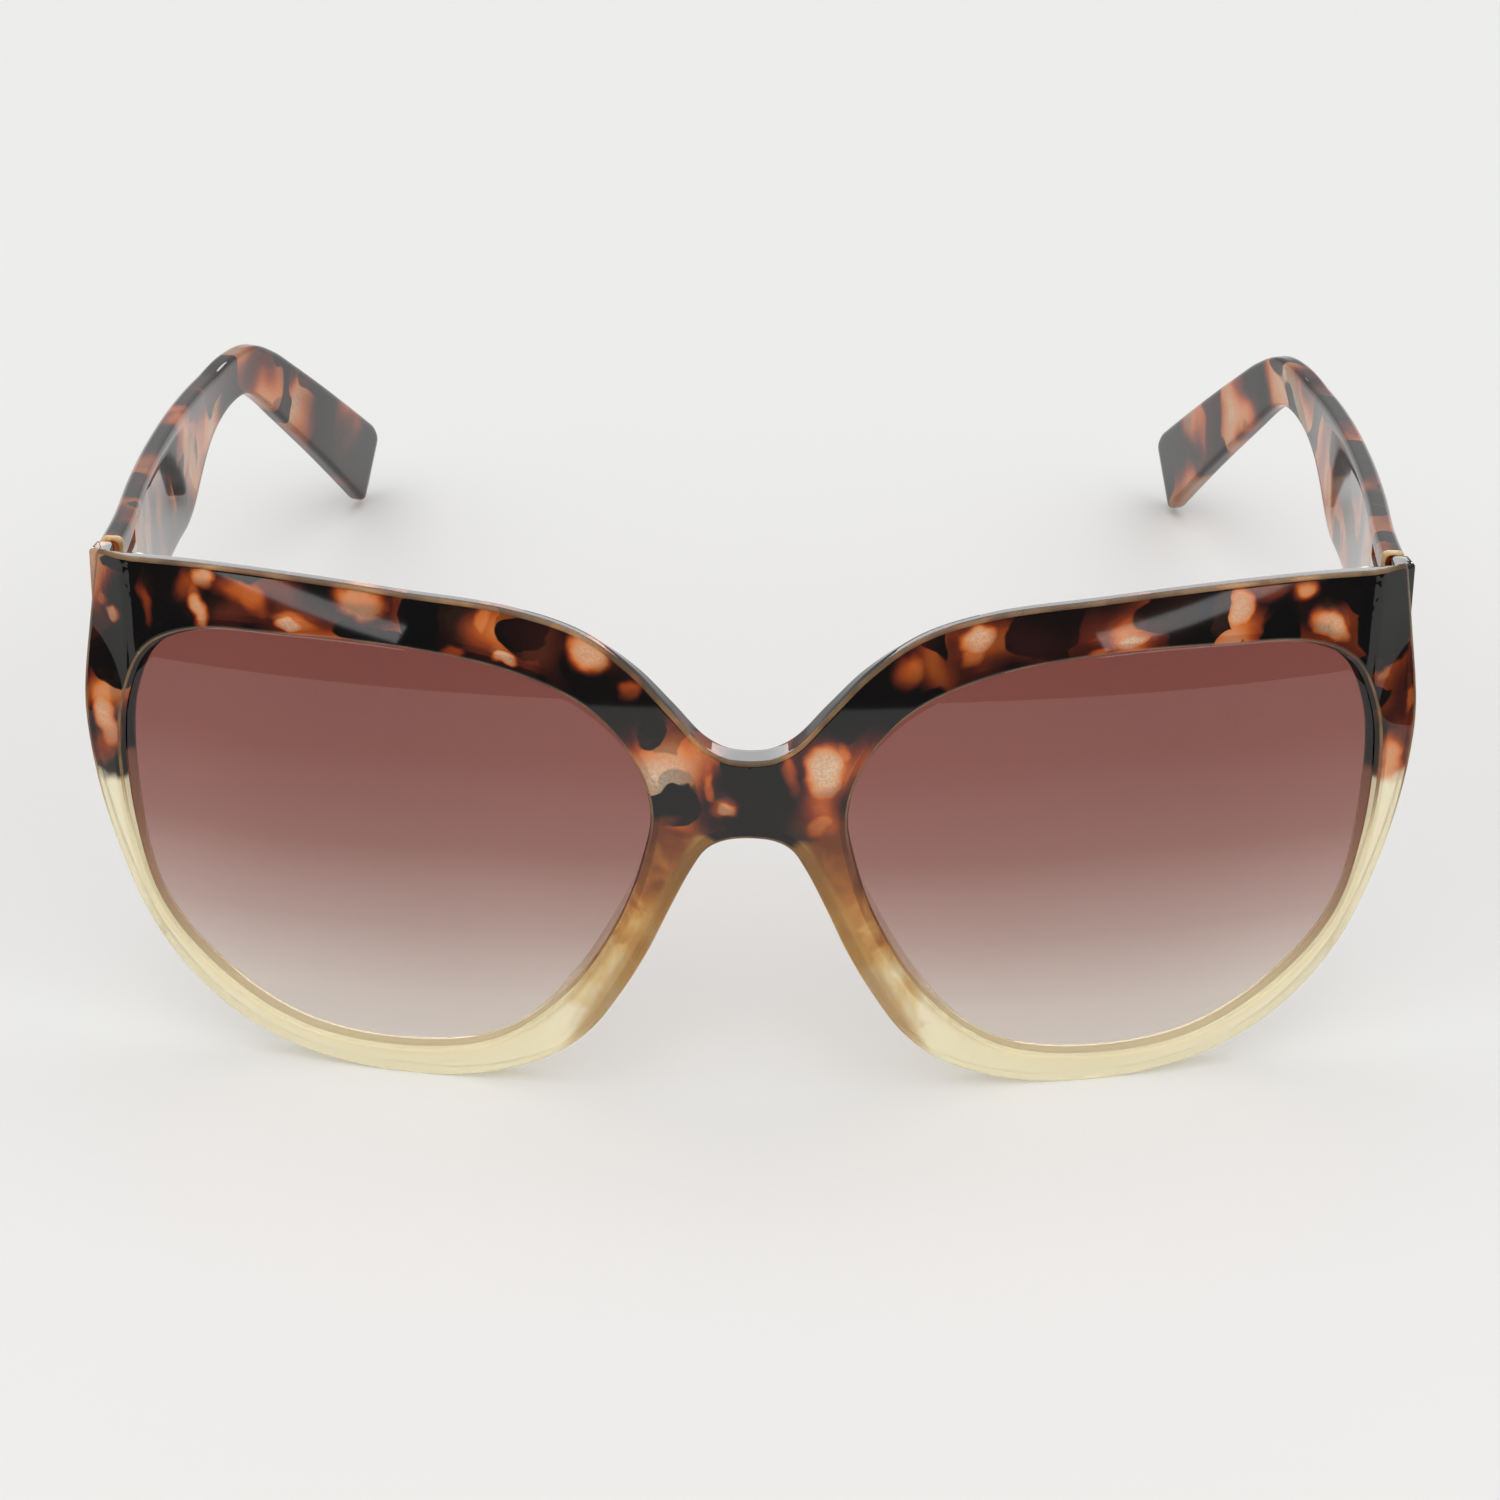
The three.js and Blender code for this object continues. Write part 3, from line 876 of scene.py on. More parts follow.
def makeTortoiseGroup():
    # each patch is soft against the clouds and crisp against the dark islands
    tree, given, out = newGroup(
        "tortoise pattern",
        [
            ("Place", "Vector", None),
            ("Patch Size", "Float", 11.0),
            ("Light", "Float", 0.0),
            ("Cream Spots", "Float", 0.0),
            ("Amber Spots", "Float", 0.0),
            ("Dark Spots", "Float", 0.0),
        ],
        [("Color", "Color", None), ("Cream", "Float", None)],
    )
    scale = maths(tree, "DIVIDE", 1.0, given["Patch Size"])
    bend = noise(tree, given["Place"], maths(tree, "MULTIPLY", scale, tortoise["bendScale"]), 2.0)
    shift = vectorMaths(tree, "SUBTRACT", bend.outputs["Color"], (0.5, 0.5, 0.5))
    warp = vectorMaths(tree, "MULTIPLY_ADD", shift, [tortoise["bend"]] * 3, given["Place"])
    cloud = noise(tree, warp, scale, *tortoise["cloudDetail"]).outputs["Fac"]
    spread = tortoise["contrast"]
    heat = maths(tree, "MULTIPLY_ADD", cloud, spread, (1 - spread) / 2)
    heat = maths(tree, "ADD", heat, given["Light"])
    uneven = maths(tree, "MULTIPLY", maths(tree, "SUBTRACT", cloud, 0.5), tortoise["unevenness"])
    for tone in ("Amber", "Cream"):
        warmth = maths(tree, "ADD", uneven, tortoise[tone.lower() + "Warmth"])
        glow = maths(tree, "MULTIPLY", given[tone + " Spots"], warmth)
        heat = maths(tree, "MAXIMUM", heat, glow)
    colour = ramp(tree, heat, tortoise["stops"], smooth=False)
    # crisp dark islands over the clouds
    apart = vectorMaths(tree, "ADD", warp, tortoise["islandPlace"])
    islandScale = maths(tree, "MULTIPLY", scale, tortoise["islandScale"])
    island = noise(tree, apart, islandScale, *tortoise["islandDetail"]).outputs["Fac"]
    spared = maths(tree, "MAXIMUM", given["Cream Spots"], given["Amber Spots"])
    island = maths(tree, "SUBTRACT", island, maths(tree, "MULTIPLY", spared, tortoise["islandSpared"]))
    crisp = maths(tree, "MAXIMUM", softRange(tree, island, *tortoise["islandEdge"]), given["Dark Spots"])
    # fine grain in the pale patches
    grain = noise(tree, given["Place"], tortoise["grainScale"], *tortoise["grainDetail"]).outputs["Fac"]
    grain = softRange(tree, grain, *tortoise["grainFrom"], 0.0, tortoise["grainShare"])
    pale = softRange(tree, heat, *tortoise["paleFrom"])
    colour = mixColour(tree, maths(tree, "MULTIPLY", grain, pale), colour, tortoise["grainColour"])
    thin = noise(tree, apart, maths(tree, "MULTIPLY", scale, tortoise["thinScale"]), 1.0).outputs["Fac"]
    colour = mixColour(tree, crisp, colour, ramp(tree, thin, tortoise["darkStops"]))
    tree.links.new(colour, out["Color"])
    tree.links.new(maths(tree, "MULTIPLY", pale, maths(tree, "SUBTRACT", 1.0, crisp)), out["Cream"])
    return tree


def makeSpotGroup():
    # one oval patch of colour, laid across the front, with a ragged edge
    tree, given, out = newGroup(
        "colour spot",
        [
            ("Place", "Vector", None),
            ("Across", "Float", 0.0),
            ("Up", "Float", 0.0),
            ("Half Width", "Float", 4.0),
            ("Half Height", "Float", 3.0),
            ("Tilt", "Float", 0.0),
            ("Softness", "Float", 0.3),
        ],
        [("Mask", "Float", None)],
    )
    split = splitPlace(tree, given["Place"])
    across = maths(tree, "SUBTRACT", split[0], given["Across"])
    up = maths(tree, "SUBTRACT", split[2], given["Up"])
    cosine = maths(tree, "COSINE", given["Tilt"])
    sine = maths(tree, "SINE", given["Tilt"])
    first = maths(tree, "MULTIPLY_ADD", up, sine, maths(tree, "MULTIPLY", across, cosine))
    crossed = maths(tree, "MULTIPLY", across, sine)
    second = maths(tree, "SUBTRACT", maths(tree, "MULTIPLY", up, cosine), crossed)
    first = maths(tree, "DIVIDE", first, given["Half Width"])
    second = maths(tree, "DIVIDE", second, given["Half Height"])
    squared = maths(tree, "MULTIPLY_ADD", first, first, maths(tree, "MULTIPLY", second, second))
    inner = maths(tree, "SUBTRACT", 1.0, given["Softness"])
    outer = maths(tree, "ADD", 1.0, given["Softness"])
    tree.links.new(softRange(tree, maths(tree, "SQRT", squared), outer, inner), out["Mask"])
    return tree


wear = {
    "hairScale": 0.9,
    "hairStretch": 14.0,
    "hairDetail": (3.0, 0.7, 1.5),
    "hairFrom": (0.70, 0.74),
    "speckScale": 0.55,
    "speckFrom": (0.06, 0.03),
    "waveScale": 0.16,
    "waveHeight": 0.6,
    "dullness": 0.25,
    "bumpDistance": 0.0002,
}


def makeWearGroup():
    # dust specks and hair scratches from handling, as height and as a share of dullness
    tree, given, out = newGroup(
        "handling wear",
        [("Place", "Vector", None), ("Scratches", "Float", 0.5), ("Dust", "Float", 0.5)],
        [("Height", "Float", None), ("Dullness", "Float", None)],
    )
    stretched = vectorMaths(tree, "MULTIPLY", given["Place"], (1.0, 1.0, wear["hairStretch"]))
    hair = noise(tree, stretched, wear["hairScale"], *wear["hairDetail"]).outputs["Fac"]
    line = maths(tree, "MULTIPLY", softRange(tree, hair, *wear["hairFrom"]), given["Scratches"])
    speck = addNode(tree, "ShaderNodeTexVoronoi")
    feed(tree, speck.inputs["Vector"], given["Place"])
    feed(tree, speck.inputs["Scale"], wear["speckScale"])
    dot = softRange(tree, speck.outputs["Distance"], *wear["speckFrom"])
    dot = maths(tree, "MULTIPLY", dot, given["Dust"])
    wave = noise(tree, given["Place"], wear["waveScale"], 2.0).outputs["Fac"]
    height = maths(tree, "SUBTRACT", dot, line)
    tree.links.new(maths(tree, "MULTIPLY_ADD", wave, wear["waveHeight"], height), out["Height"])
    tree.links.new(maths(tree, "ADD", dot, line), out["Dullness"])
    return tree


tortoiseGroup = makeTortoiseGroup()
spotGroup = makeSpotGroup()
wearGroup = makeWearGroup()


def placeInMillimetres(tree, offset=(0, 0, 0)):
    coordinates = addNode(tree, "ShaderNodeTexCoord")
    return vectorMaths(tree, "MULTIPLY_ADD", coordinates.outputs["Object"], [1 / mm] * 3, offset)


def newPlastic(name, clearness, offset=(0, 0, 0)):
    made, tree, shader = newMaterial(name)
    setShader(shader, Metallic=0.0, Transmission_Weight=clearness, IOR=1.5)
    return made, tree, shader, placeInMillimetres(tree, offset)


def addWear(tree, shader, place, roughness, scratches, dust, strength=0.012):
    marks = useGroup(tree, wearGroup, Place=place, Scratches=scratches, Dust=dust)
    rough = maths(tree, "MULTIPLY_ADD", marks["Dullness"], wear["dullness"], roughness)
    tree.links.new(rough, shader.inputs["Roughness"])
    bump = addNode(tree, "ShaderNodeBump")
    feed(tree, bump.inputs["Strength"], strength)
    feed(tree, bump.inputs["Distance"], wear["bumpDistance"])
    feed(tree, bump.inputs["Height"], marks["Height"])
    tree.links.new(bump.outputs["Normal"], shader.inputs["Normal"])


def lightShadow(tree, shader, strength):
    # a clear plastic's shadow is pale, so most light passes it
    path = addNode(tree, "ShaderNodeLightPath")
    shown = maths(tree, "MULTIPLY_ADD", path.outputs["Is Shadow Ray"], -strength, 1.0)
    feed(tree, shader.inputs["Alpha"], shown)


frontFinish = {
    "clearness": 0.62,
    "champagne": (1.0, 0.93, 0.69, 1),
    # the legs beside the nose, by share of this height
    "legTop": 30.0,
    "legStops": [
        (0.35, (1.0, 0.93, 0.68)),
        (0.52, (0.86, 0.66, 0.32)),
        (0.66, (0.74, 0.42, 0.12)),
        (0.80, (0.50, 0.18, 0.035)),
        (1.00, (0.21, 0.052, 0.013)),
    ],
    "padAmber": (0.50, 0.28, 0.07, 1),
    # the pads' deeper strip: the leg's nose side as (slope, start), then its edge, share and start
    "padLine": (0.54, 5.5),
    "padEdge": (2.4, 1.2),
    "padShare": 0.75,
    "padFrom": (3.0, 8.0),
    # blotches down the legs
    "blotchScale": 0.30,
    "blotchSquash": (1.0, 1.0, 0.6),
    "blotchDetail": (2.0, 0.55, 0.6),
    "blotchReach": 26.0,
    # where the legs' colours give way to the pattern, lower to the sides
    "noseTop": (28.6, 30.4),
    "noseTopFall": 0.45,
    # where the rims' champagne gives way to the pattern, beyond the legs
    "outerFade": (33.2, 35.4),
    "outerFrom": (22.0, 50.0),
    "raggedGrain": (0.19, 2.5, 0.55),
    "raggedReach": 9.0,
    "spotBend": 4.0,
    "softEdge": 0.75,
    "crispEdge": 0.05,
    "patchSize": 11.5,
    "light": -0.04,
    "gloss": 0.03,
    "creamDullness": 0.12,
    # how strongly scratches and dust show
    "marks": (0.35, 0.5),
    "shadowPassed": 0.6,
    # the cut edges, in two browns that start above the rims' champagne
    "edgeBrowns": ((0.22, 0.115, 0.045, 1), (0.48, 0.29, 0.12, 1)),
    "edgeFrom": (24.0, 36.0),
    "edgeStreaks": (0.35, 0.65),
    "edgeRoughness": 0.22,
    "edgeMarks": (0.3, 0.5),
    # patches as (across, up, half width, half height, tilt in degrees)
    "creamSpots": [
        (-61.0, 55.2, 1.3, 2.9, 8), (-71.2, 53.2, 1.3, 1.2, 0), (-43.0, 58.8, 4.2, 2.4, -8),
        (-51.0, 54.9, 2.6, 1.0, -15), (-27.0, 52.8, 2.0, 0.9, -8), (-17.8, 53.8, 2.4, 3.4, 20),
        (-10.3, 39.6, 2.4, 1.7, 20), (-2.6, 35.8, 1.8, 1.6, -30), (-72.4, 40.0, 1.8, 4.4, 8),
        (8.6, 40.4, 2.9, 4.6, -12), (24.6, 56.2, 3.2, 2.3, 15), (41.8, 55.2, 3.0, 1.4, 12),
        (53.4, 57.8, 1.9, 3.2, -15), (61.2, 59.0, 2.0, 2.0, 0), (64.2, 54.6, 2.2, 3.4, 30),
        (72.3, 36.0, 2.0, 6.0, -4), (-60.2, 59.3, 2.4, 1.7, 0),
    ],
    "amberSpots": [
        (-72.6, 54.6, 1.0, 1.8, 0), (-66.8, 55.5, 1.1, 3.6, 5), (-62.0, 58.0, 2.4, 3.0, 0),
        (-56.0, 58.0, 5.0, 2.6, -20), (-50.0, 55.2, 4.4, 1.8, -15), (-33.0, 53.4, 2.2, 0.9, 0),
        (-29.5, 57.6, 1.5, 3.0, 0), (-5.8, 42.0, 1.8, 1.4, 20), (-4.6, 38.8, 1.0, 3.0, 10),
        (-3.0, 36.0, 2.8, 2.6, 0), (4.5, 40.6, 1.5, 4.0, 5), (10.6, 43.0, 1.8, 2.2, 0),
        (17.2, 52.4, 3.0, 3.2, 25), (24.4, 54.4, 3.6, 2.2, 30), (38.0, 54.2, 2.4, 1.0, 10),
        (52.3, 54.4, 1.4, 1.0, 0), (57.4, 59.6, 4.4, 1.6, 0), (70.8, 48.0, 1.6, 1.6, 0),
        (74.0, 44.5, 0.9, 2.4, 0), (8.2, 33.8, 2.4, 2.6, 0), (-13.5, 50.0, 1.4, 2.2, -30),
        (-73.0, 37.0, 2.6, 3.6, 0), (72.6, 37.5, 2.8, 5.0, 0),
    ],
    "darkSpots": [
        (-8.0, 36.6, 2.3, 2.8, 0), (-42.0, 54.8, 4.4, 1.7, -6), (-36.4, 57.0, 2.6, 3.4, 0),
        (-25.0, 55.6, 2.8, 2.4, -20), (1.2, 38.6, 1.9, 2.6, 0), (0.8, 33.4, 3.6, 1.6, 0),
        (-2.0, 39.9, 1.4, 1.9, 0), (58.4, 54.4, 2.6, 2.9, 0), (32.0, 56.8, 4.0, 3.2, 0),
        (46.0, 58.2, 4.6, 1.9, 5), (-70.6, 47.8, 3.6, 3.8, 0), (70.6, 53.6, 3.4, 5.4, 0),
        (-10.6, 45.4, 1.8, 2.0, -30), (-75.4, 56.0, 1.6, 6.0, 0), (11.0, 46.4, 2.0, 2.0, 40),
        (-70.2, 59.0, 2.2, 1.2, 0),
    ],
}


def spotMask(tree, place, spots, softness):
    mask = 0.0
    for across, up, halfWidth, halfHeight, tilt in spots:
        one = useGroup(
            tree, spotGroup, Place=place, Across=across, Up=up, HalfWidth=halfWidth, HalfHeight=halfHeight,
            Tilt=math.radians(tilt), Softness=softness,
        )["Mask"]
        mask = one if mask == 0.0 else maths(tree, "MAXIMUM", mask, one)
    return mask


def frontColour(tree, place):
    finish = frontFinish
    ragged = noise(tree, place, *finish["raggedGrain"])
    shift = vectorMaths(tree, "SUBTRACT", ragged.outputs["Color"], (0.5, 0.5, 0.5))
    spotPlace = vectorMaths(tree, "MULTIPLY_ADD", shift, [finish["spotBend"]] * 3, place)
    pattern = useGroup(
        tree, tortoiseGroup, Place=place, PatchSize=finish["patchSize"], Light=finish["light"],
        CreamSpots=spotMask(tree, spotPlace, finish["creamSpots"], finish["softEdge"]),
        AmberSpots=spotMask(tree, spotPlace, finish["amberSpots"], finish["softEdge"]),
        DarkSpots=spotMask(tree, spotPlace, finish["darkSpots"], finish["crispEdge"]),
    )
    split = splitPlace(tree, place)
    fromMiddle, up = maths(tree, "ABSOLUTE", split[0]), split[2]
    side = softRange(tree, fromMiddle, *finish["outerFrom"])
    wobble = maths(tree, "SUBTRACT", ragged.outputs["Fac"], 0.5)
    height = maths(tree, "MULTIPLY_ADD", wobble, finish["raggedReach"], up)
    outer = softRange(tree, height, *finish["outerFade"])
    # amber blotches run into each other down the legs beside the nose, and pale towards the bottom
    squashed = vectorMaths(tree, "MULTIPLY", place, finish["blotchSquash"])
    blotches = noise(tree, squashed, finish["blotchScale"], *finish["blotchDetail"]).outputs["Fac"]
    reach = finish["blotchReach"]
    blotched = maths(tree, "MULTIPLY_ADD", blotches, reach, -reach / 2)
    legShare = maths(tree, "DIVIDE", maths(tree, "ADD", height, blotched), finish["legTop"], clamp=True)
    legTint = ramp(tree, legShare, finish["legStops"], smooth=False)
    # the pads' nose side is seen through more plastic, so it is deeper in colour
    drop = maths(tree, "SUBTRACT", finish["legTop"], up)
    noseLine = maths(tree, "MULTIPLY_ADD", drop, *finish["padLine"])
    inside = maths(tree, "SUBTRACT", fromMiddle, noseLine)
    strip = softRange(tree, inside, *finish["padEdge"], 0.0, finish["padShare"])
    strip = maths(tree, "MULTIPLY", strip, softRange(tree, up, *finish["padFrom"]))
    legTint = mixColour(tree, strip, legTint, finish["padAmber"])
    fallen = maths(tree, "MULTIPLY", fromMiddle, finish["noseTopFall"])
    noseTop = softRange(tree, maths(tree, "SUBTRACT", height, fallen), *finish["noseTop"])
    noseColour = mixColour(tree, noseTop, legTint, pattern["Color"])
    outerColour = mixColour(tree, outer, finish["champagne"], pattern["Color"])
    return mixColour(tree, side, noseColour, outerColour), pattern["Cream"], ragged.outputs["Fac"]


def plasticGloss(tree, cream):
    # the cream patches are a little duller
    return maths(tree, "MULTIPLY_ADD", cream, frontFinish["creamDullness"], frontFinish["gloss"])


def makeFrontPlastic():
    made, tree, shader, place = newPlastic("tortoise over champagne", frontFinish["clearness"])
    colour, cream, _ = frontColour(tree, place)
    tree.links.new(colour, shader.inputs["Base Color"])
    addWear(tree, shader, place, plasticGloss(tree, cream), *frontFinish["marks"])
    lightShadow(tree, shader, frontFinish["shadowPassed"])
    return made


def makeFrontEdge():
    # the cut edges, where the clear base shows beside the colour
    made, tree, shader, place = newPlastic("champagne cut edge", frontFinish["clearness"])
    colour, _, ragged = frontColour(tree, place)
    streak = softRange(tree, ragged, *frontFinish["edgeStreaks"])
    brown = mixColour(tree, streak, *frontFinish["edgeBrowns"])
    upper = softRange(tree, splitPlace(tree, place)[2], *frontFinish["edgeFrom"])
    tree.links.new(mixColour(tree, upper, colour, brown), shader.inputs["Base Color"])
    addWear(tree, shader, place, frontFinish["edgeRoughness"], *frontFinish["edgeMarks"])
    lightShadow(tree, shader, frontFinish["shadowPassed"])
    return made


templeFinish = {
    "patchSize": 11.5,
    "light": 0.08,
    "offset": {"right": (140.0, 20.0, -35.0), "left": (-260.0, 75.0, 48.0)},
    "sheen": 0.42,
    "marks": (0.5, 0.5),
    "shadowPassed": 0.4,
    # the trim's two golds: the champagne base at the cut end, lightened by a painted highlight of the
    # rounded edge catching light
    "trim": ((0.72, 0.52, 0.26, 1), (0.50, 0.30, 0.12, 1)),
    "trimStreaks": (0.4, 0.65),
    "trimGrain": (0.8, 3.0, 0.6),
    "trimRoughness": 0.2,
    "trimMarks": (0.4, 0.4),
}


def makeEndTrimWithHighlight():
    # the pale rounded edge at each temple's front end: the champagne base where the pattern is cut, with a
    # painted highlight of the edge catching light
    made, tree, shader, place = newPlastic("champagne end edge with painted highlight", 0.0)
    streak = noise(tree, place, *templeFinish["trimGrain"]).outputs["Fac"]
    streak = softRange(tree, streak, *templeFinish["trimStreaks"])
    tree.links.new(mixColour(tree, streak, *templeFinish["trim"]), shader.inputs["Base Color"])
    addWear(tree, shader, place, templeFinish["trimRoughness"], *templeFinish["trimMarks"])
    return made


def makeTemplePlastic(name):
    offset = templeFinish["offset"][name]
    made, tree, shader, place = newPlastic("tortoise temple " + name, frontFinish["clearness"], offset)
    setShader(shader, Specular_IOR_Level=templeFinish["sheen"])
    pattern = useGroup(
        tree, tortoiseGroup, Place=place, PatchSize=templeFinish["patchSize"], Light=templeFinish["light"]
    )
    tree.links.new(pattern["Color"], shader.inputs["Base Color"])
    addWear(tree, shader, place, plasticGloss(tree, pattern["Cream"]), *templeFinish["marks"])
    lightShadow(tree, shader, templeFinish["shadowPassed"])
    return made


lensFinish = {
    "stops": [
        (0.00, (0.90, 0.84, 0.79)),
        (0.10, (0.84, 0.76, 0.70)),
        (0.30, (0.56, 0.40, 0.36)),
        (0.50, (0.36, 0.17, 0.145)),
        (0.75, (0.275, 0.092, 0.073)),
        (1.00, (0.25, 0.080, 0.066)),
    ],
    "bottom": 4.0,
    "top": 53.0,
    # the tint's height drifts a little from place to place
    "driftScale": 0.03,
    "driftReach": 3.0,
    "marks": (0.1, 0.3),
    "bump": 0.0004,
    "shadowPassed": 0.65,
}


def makeLensTint():
    made, tree, shader, place = newPlastic("graduated brown tint", 1.0)
    drift = maths(tree, "SUBTRACT", noise(tree, place, lensFinish["driftScale"], 1.0).outputs["Fac"], 0.5)
    height = maths(tree, "MULTIPLY_ADD", drift, lensFinish["driftReach"], splitPlace(tree, place)[2])
    span = lensFinish["top"] - lensFinish["bottom"]
    share = maths(tree, "DIVIDE", maths(tree, "SUBTRACT", height, lensFinish["bottom"]), span, clamp=True)
    tree.links.new(ramp(tree, share, lensFinish["stops"], smooth=False), shader.inputs["Base Color"])
    addWear(tree, shader, place, 0.0, *lensFinish["marks"], lensFinish["bump"])
    lightShadow(tree, shader, lensFinish["shadowPassed"])
    return made


# each metal as its bright tone, its stained tone and its roughness
metalFinish = {
    "nickel": ((0.62, 0.60, 0.56, 1), (0.42, 0.39, 0.35, 1), 0.22),
    "steel": ((0.52, 0.51, 0.50, 1), (0.30, 0.29, 0.28, 1), 0.26),
    "brushStretch": (1.0, 1.0, 6.0),
    "brushGrain": (2.2, 4.0, 0.6),
    "brushDullness": 0.22,
    "polish": 0.08,
    "stainScale": 0.9,
    "stainFrom": (0.4, 0.75),
    "marks": (0.8, 0.4),
    "bump": 0.05,
}


def makeMetal(name):
    bright, dull, roughness = metalFinish[name]
    made, tree, shader = newMaterial("hinge " + name)
    setShader(shader, Metallic=1.0)
    place = placeInMillimetres(tree)
    stretched = vectorMaths(tree, "MULTIPLY", place, metalFinish["brushStretch"])
    brushed = noise(tree, stretched, *metalFinish["brushGrain"]).outputs["Fac"]
    stain = noise(tree, place, metalFinish["stainScale"], 3.0).outputs["Fac"]
    stain = softRange(tree, stain, *metalFinish["stainFrom"])
    tree.links.new(mixColour(tree, stain, bright, dull), shader.inputs["Base Color"])
    plain = roughness - metalFinish["polish"]
    rough = maths(tree, "MULTIPLY_ADD", brushed, metalFinish["brushDullness"], plain)
    addWear(tree, shader, place, rough, *metalFinish["marks"], metalFinish["bump"])
    return made


print("materials")
frontPlastic = makeFrontPlastic()
frontEdge = makeFrontEdge()
lensTint = makeLensTint()
nickel = makeMetal("nickel")
steel = makeMetal("steel")
# the temples' pale end trim, partly a painted highlight of the rounded edge
endTrimWithHighlight = makeEndTrimWithHighlight()

print("front")
frontPiece = makeFront([frontPlastic, frontEdge])
for side in (1, -1):
    applyBoolean(frontPiece, makeLug(side), "UNION")
    fit, leaf, half = hinge["fit"], hinge["frontLeaf"], hinge["span"] / 2 + hinge["fit"]
    applyBoolean(
        frontPiece,
        hingePocket(
            side,
            (leaf["inner"] - fit, leaf["front"] - fit, -half),
            (leaf["outer"] + fit, -hinge["knuckleRadius"], half),
        ),
        "DIFFERENCE",
    )
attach(frontPiece, "front")
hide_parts("frame_front")

for name, side in (("right", -1), ("left", 1)):
    print("temple and lens,", name)
    board = makeTemple(name, side, [makeTemplePlastic(name), endTrimWithHighlight])
    leaf, half = hinge["templeLeaf"], hinge["span"] / 2 + hinge["fit"]
    applyBoolean(
        board,
        hingePocket(
            side,
            (0, -hinge["knuckleRadius"], -half),
            (leaf["outer"] + hinge["fit"], leaf["back"] + hinge["fit"], half),
            hinge["swing"][name],
        ),
        "DIFFERENCE",
    )
    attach(board, name + "_temple")
    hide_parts("temple_" + name)
    glass = makeLens(name, side, [lensTint])
    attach(glass, "front")
    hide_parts("lens_" + name)
    for node, metal in (("hinge_front_", nickel), ("hinge_temple_", nickel), ("hinge_screw_", steel)):
        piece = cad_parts[node + name]
        piece.data.materials.clear()
        piece.data.materials.append(metal)
        bevel = piece.modifiers.new("softEdges", "BEVEL")
        bevel.width = hinge["bevel"]["width"] * mm
        bevel.segments = hinge["bevel"]["segments"]
        bevel.limit_method = "ANGLE"
        bevel.angle_limit = math.radians(hinge["bevel"]["degrees"])


studio = {
    "paper": ((0.80, 0.795, 0.78, 1), (0.80, 0.79, 0.77, 1)),
    "paperGrain": (1.2, 4.0, 0.6),
    "paperUneven": 0.02,
    "paperSize": 3000,
    "surround": (0.95, 0.96, 0.97, 1),
    "surroundStrength": 0.60,
    "topLight": {"at": (0.0, -0.15, 1.3), "size": (2.4, 2.4), "power": 16.0, "aim": (0, 0, 0.02)},
    "backLight": {"at": (0.0, 1.1, 0.62), "size": (1.8, 0.5), "power": 12.0, "aim": (0, 0, 0.05)},
    # what the gloss sees past the paper's near edge: a dark card, with a pale strip to each side
    # (middle of the edge, its bow, how far it bows to each side)
    "paperEnd": (-195.3, 0.00185, 160.0),
    "card": ((0.10, 0.10, 0.10, 1), (0.13, 0.13, 0.13, 1)),
    "cardFar": -2600.0,
    "cardHalf": 1500.0,
    "cardLift": 2.0,
    "cardGrain": (0.02, 2.0),
    # lights the upright faces, and is not seen in the gloss
    "frontLight": {"at": (0.0, -1.3, 0.42), "size": (1.8, 0.6), "power": 3.2, "aim": (0, -0.05, 0.03)},
    # each strip in metres: its middle across and back, and its size
    "strips": [(-0.126, -0.1995, 0.070, 0.0078), (0.126, -0.1995, 0.070, 0.0078)],
    "stripUp": 0.004,
    "stripPower": 0.0042,
}


def makeFloor():
    made, tree, shader = newMaterial("studio paper")
    place = placeInMillimetres(tree)
    fibre = noise(tree, place, *studio["paperGrain"]).outputs["Fac"]
    share = maths(tree, "MULTIPLY", fibre, studio["paperUneven"])
    tree.links.new(mixColour(tree, share, *studio["paper"]), shader.inputs["Base Color"])
    setShader(shader, Roughness=0.75, Specular_IOR_Level=0.15)
    mesh = bmesh.new()
    bmesh.ops.create_grid(mesh, x_segments=8, y_segments=8, size=studio["paperSize"])
    floor = finishMesh(mesh, "studioFloor", [made])


def makeSoftbox(name, at, size, power, aim):
    light = bpy.data.lights.new(name, "AREA")
    light.shape = "RECTANGLE"
    light.size, light.size_y = size
    light.energy = power
    made = bpy.data.objects.new(name, light)
    made.location = at
    made.rotation_euler = (Vector(aim) - Vector(at)).to_track_quat("-Z", "Y").to_euler()
    made.visible_camera = False
    bpy.context.scene.collection.objects.link(made)
    return made


def glossOnly(thing):
    thing.visible_diffuse = False
    thing.visible_transmission = False


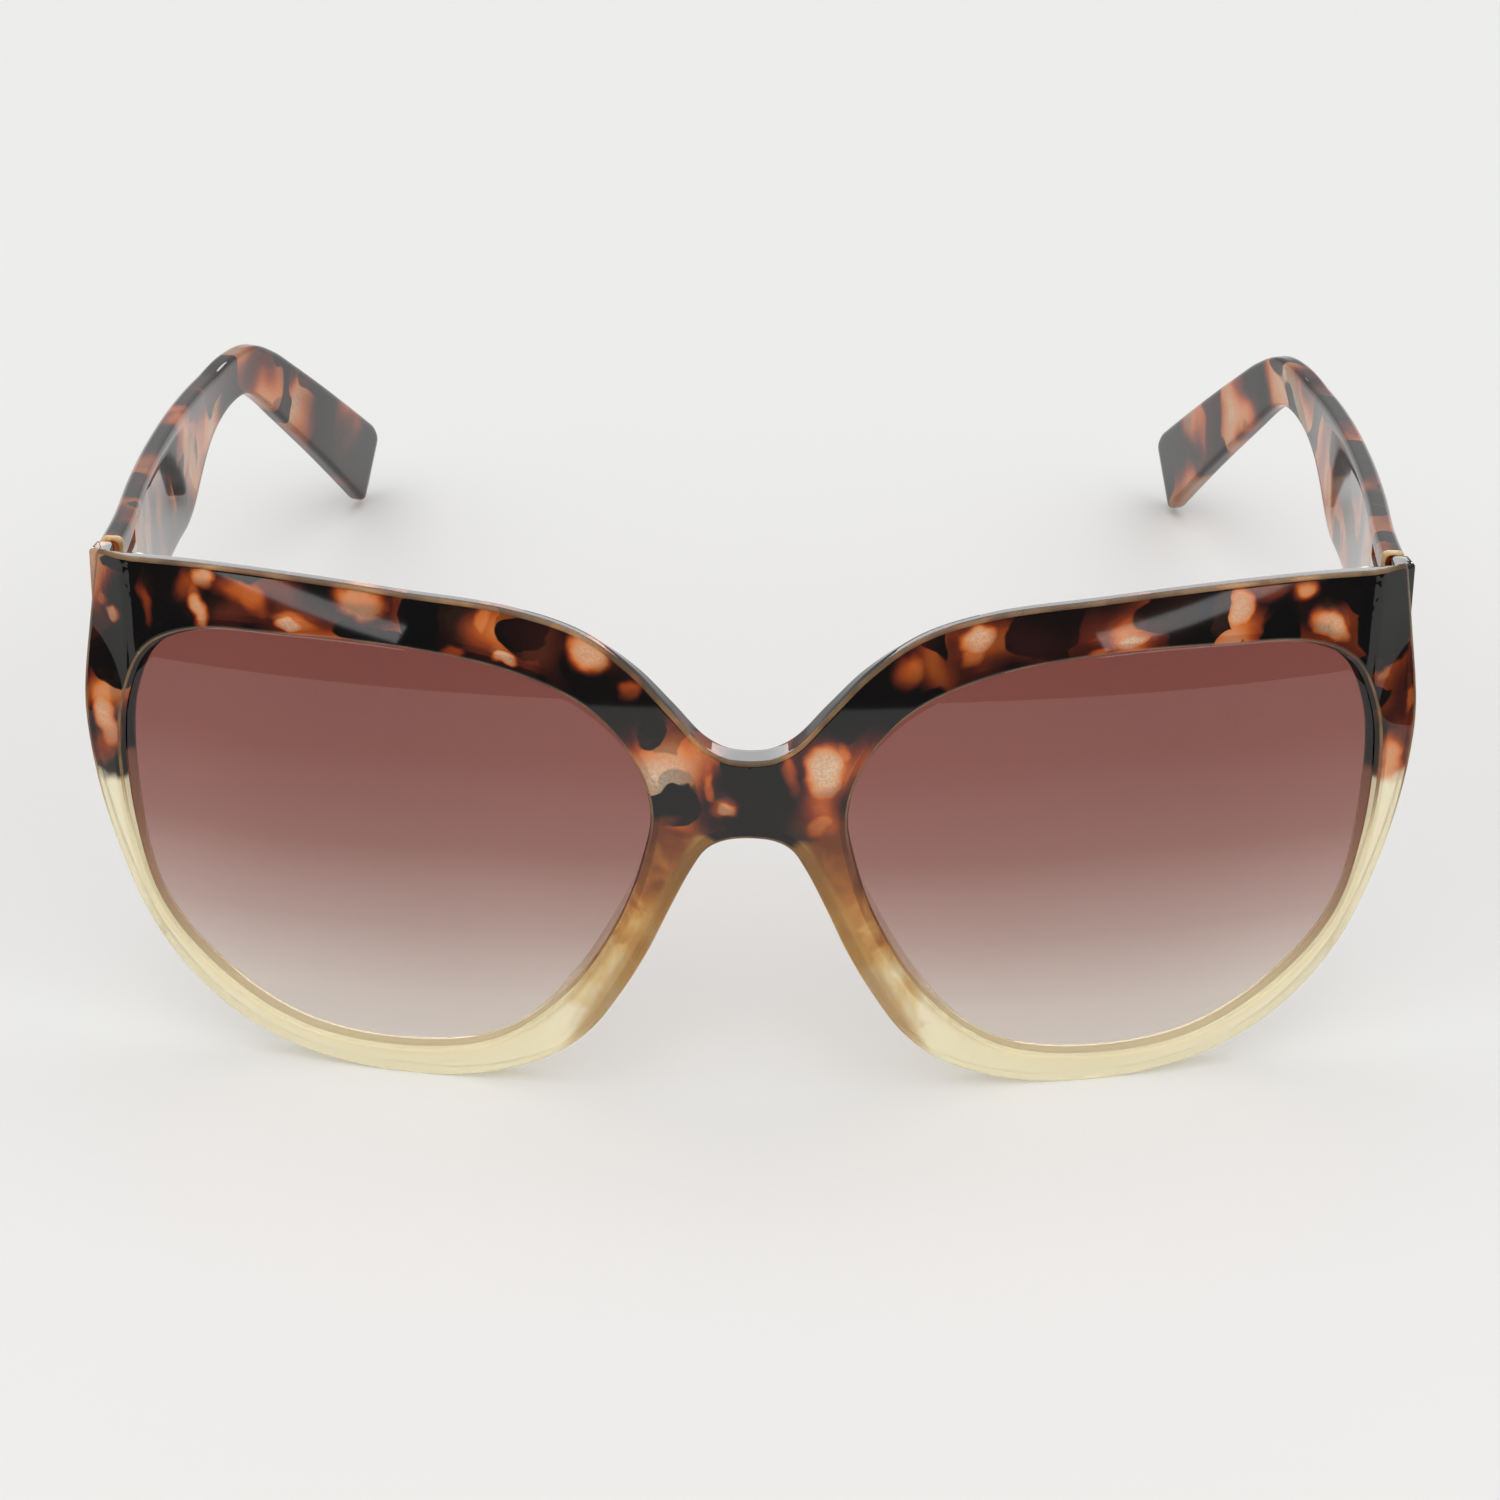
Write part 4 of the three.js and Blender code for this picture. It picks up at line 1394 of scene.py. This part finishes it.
def makeDarkCard():
    # seen only in the gloss
    made, tree, shader = newMaterial("dark card")
    place = placeInMillimetres(tree)
    weave = noise(tree, place, *studio["cardGrain"]).outputs["Fac"]
    tree.links.new(mixColour(tree, weave, *studio["card"]), shader.inputs["Base Color"])
    setShader(shader, Roughness=0.9, Specular_IOR_Level=0.0)
    mesh = bmesh.new()
    near, bow, reach = studio["paperEnd"]
    far, half, lift = studio["cardFar"], studio["cardHalf"], studio["cardLift"]
    edge = [(x, near + bow * x * x, lift) for x in np.linspace(-reach, reach, 33)]
    edge = [(-half, edge[0][1], lift)] + edge + [(half, edge[-1][1], lift)]
    mesh.faces.new([mesh.verts.new(c) for c in edge + [(half, far, lift), (-half, far, lift)]])
    card = finishMesh(mesh, "darkCard", [made])
    for flag in ("visible_camera", "visible_diffuse", "visible_transmission", "visible_shadow"):
        setattr(card, flag, False)


view = {
    "distance": 480.0,
    "elevation": 31.0,
    "target": (0.0, -71.54, 43.2),
    "roll": 0.65,
    "lens": 104.6,
}


def makeCamera():
    camera = bpy.data.cameras.new("camera")
    camera.lens = view["lens"]
    camera.sensor_width = 36.0
    camera.clip_start = 0.01
    made = bpy.data.objects.new("camera", camera)
    tilt = math.radians(view["elevation"])
    target = Vector(view["target"])
    made.location = (target - view["distance"] * Vector((0, math.cos(tilt), -math.sin(tilt)))) * mm
    turn = Matrix.Rotation(math.pi / 2 - tilt, 4, "X") @ Matrix.Rotation(math.radians(view["roll"]), 4, "Z")
    made.rotation_euler = turn.to_euler()
    bpy.context.scene.collection.objects.link(made)
    bpy.context.scene.camera = made


print("studio")
world = bpy.data.worlds.new("surround")
bpy.context.scene.world = world
world.use_nodes = True
background = world.node_tree.nodes["Background"]
background.inputs["Color"].default_value = studio["surround"]
background.inputs["Strength"].default_value = studio["surroundStrength"]
makeFloor()
makeSoftbox("topSoftbox", **studio["topLight"])
glossOnly(makeSoftbox("backSoftbox", **studio["backLight"]))
makeSoftbox("frontSoftbox", **studio["frontLight"]).visible_glossy = False
makeDarkCard()
for number, (across, back, wide, deep) in enumerate(studio["strips"]):
    at, aim = (across, back, studio["stripUp"]), (across, back, 1)
    glossOnly(makeSoftbox("strip%d" % number, at, (wide, deep), studio["stripPower"], aim))
makeCamera()
bpy.context.scene.view_settings.view_transform = "Standard"
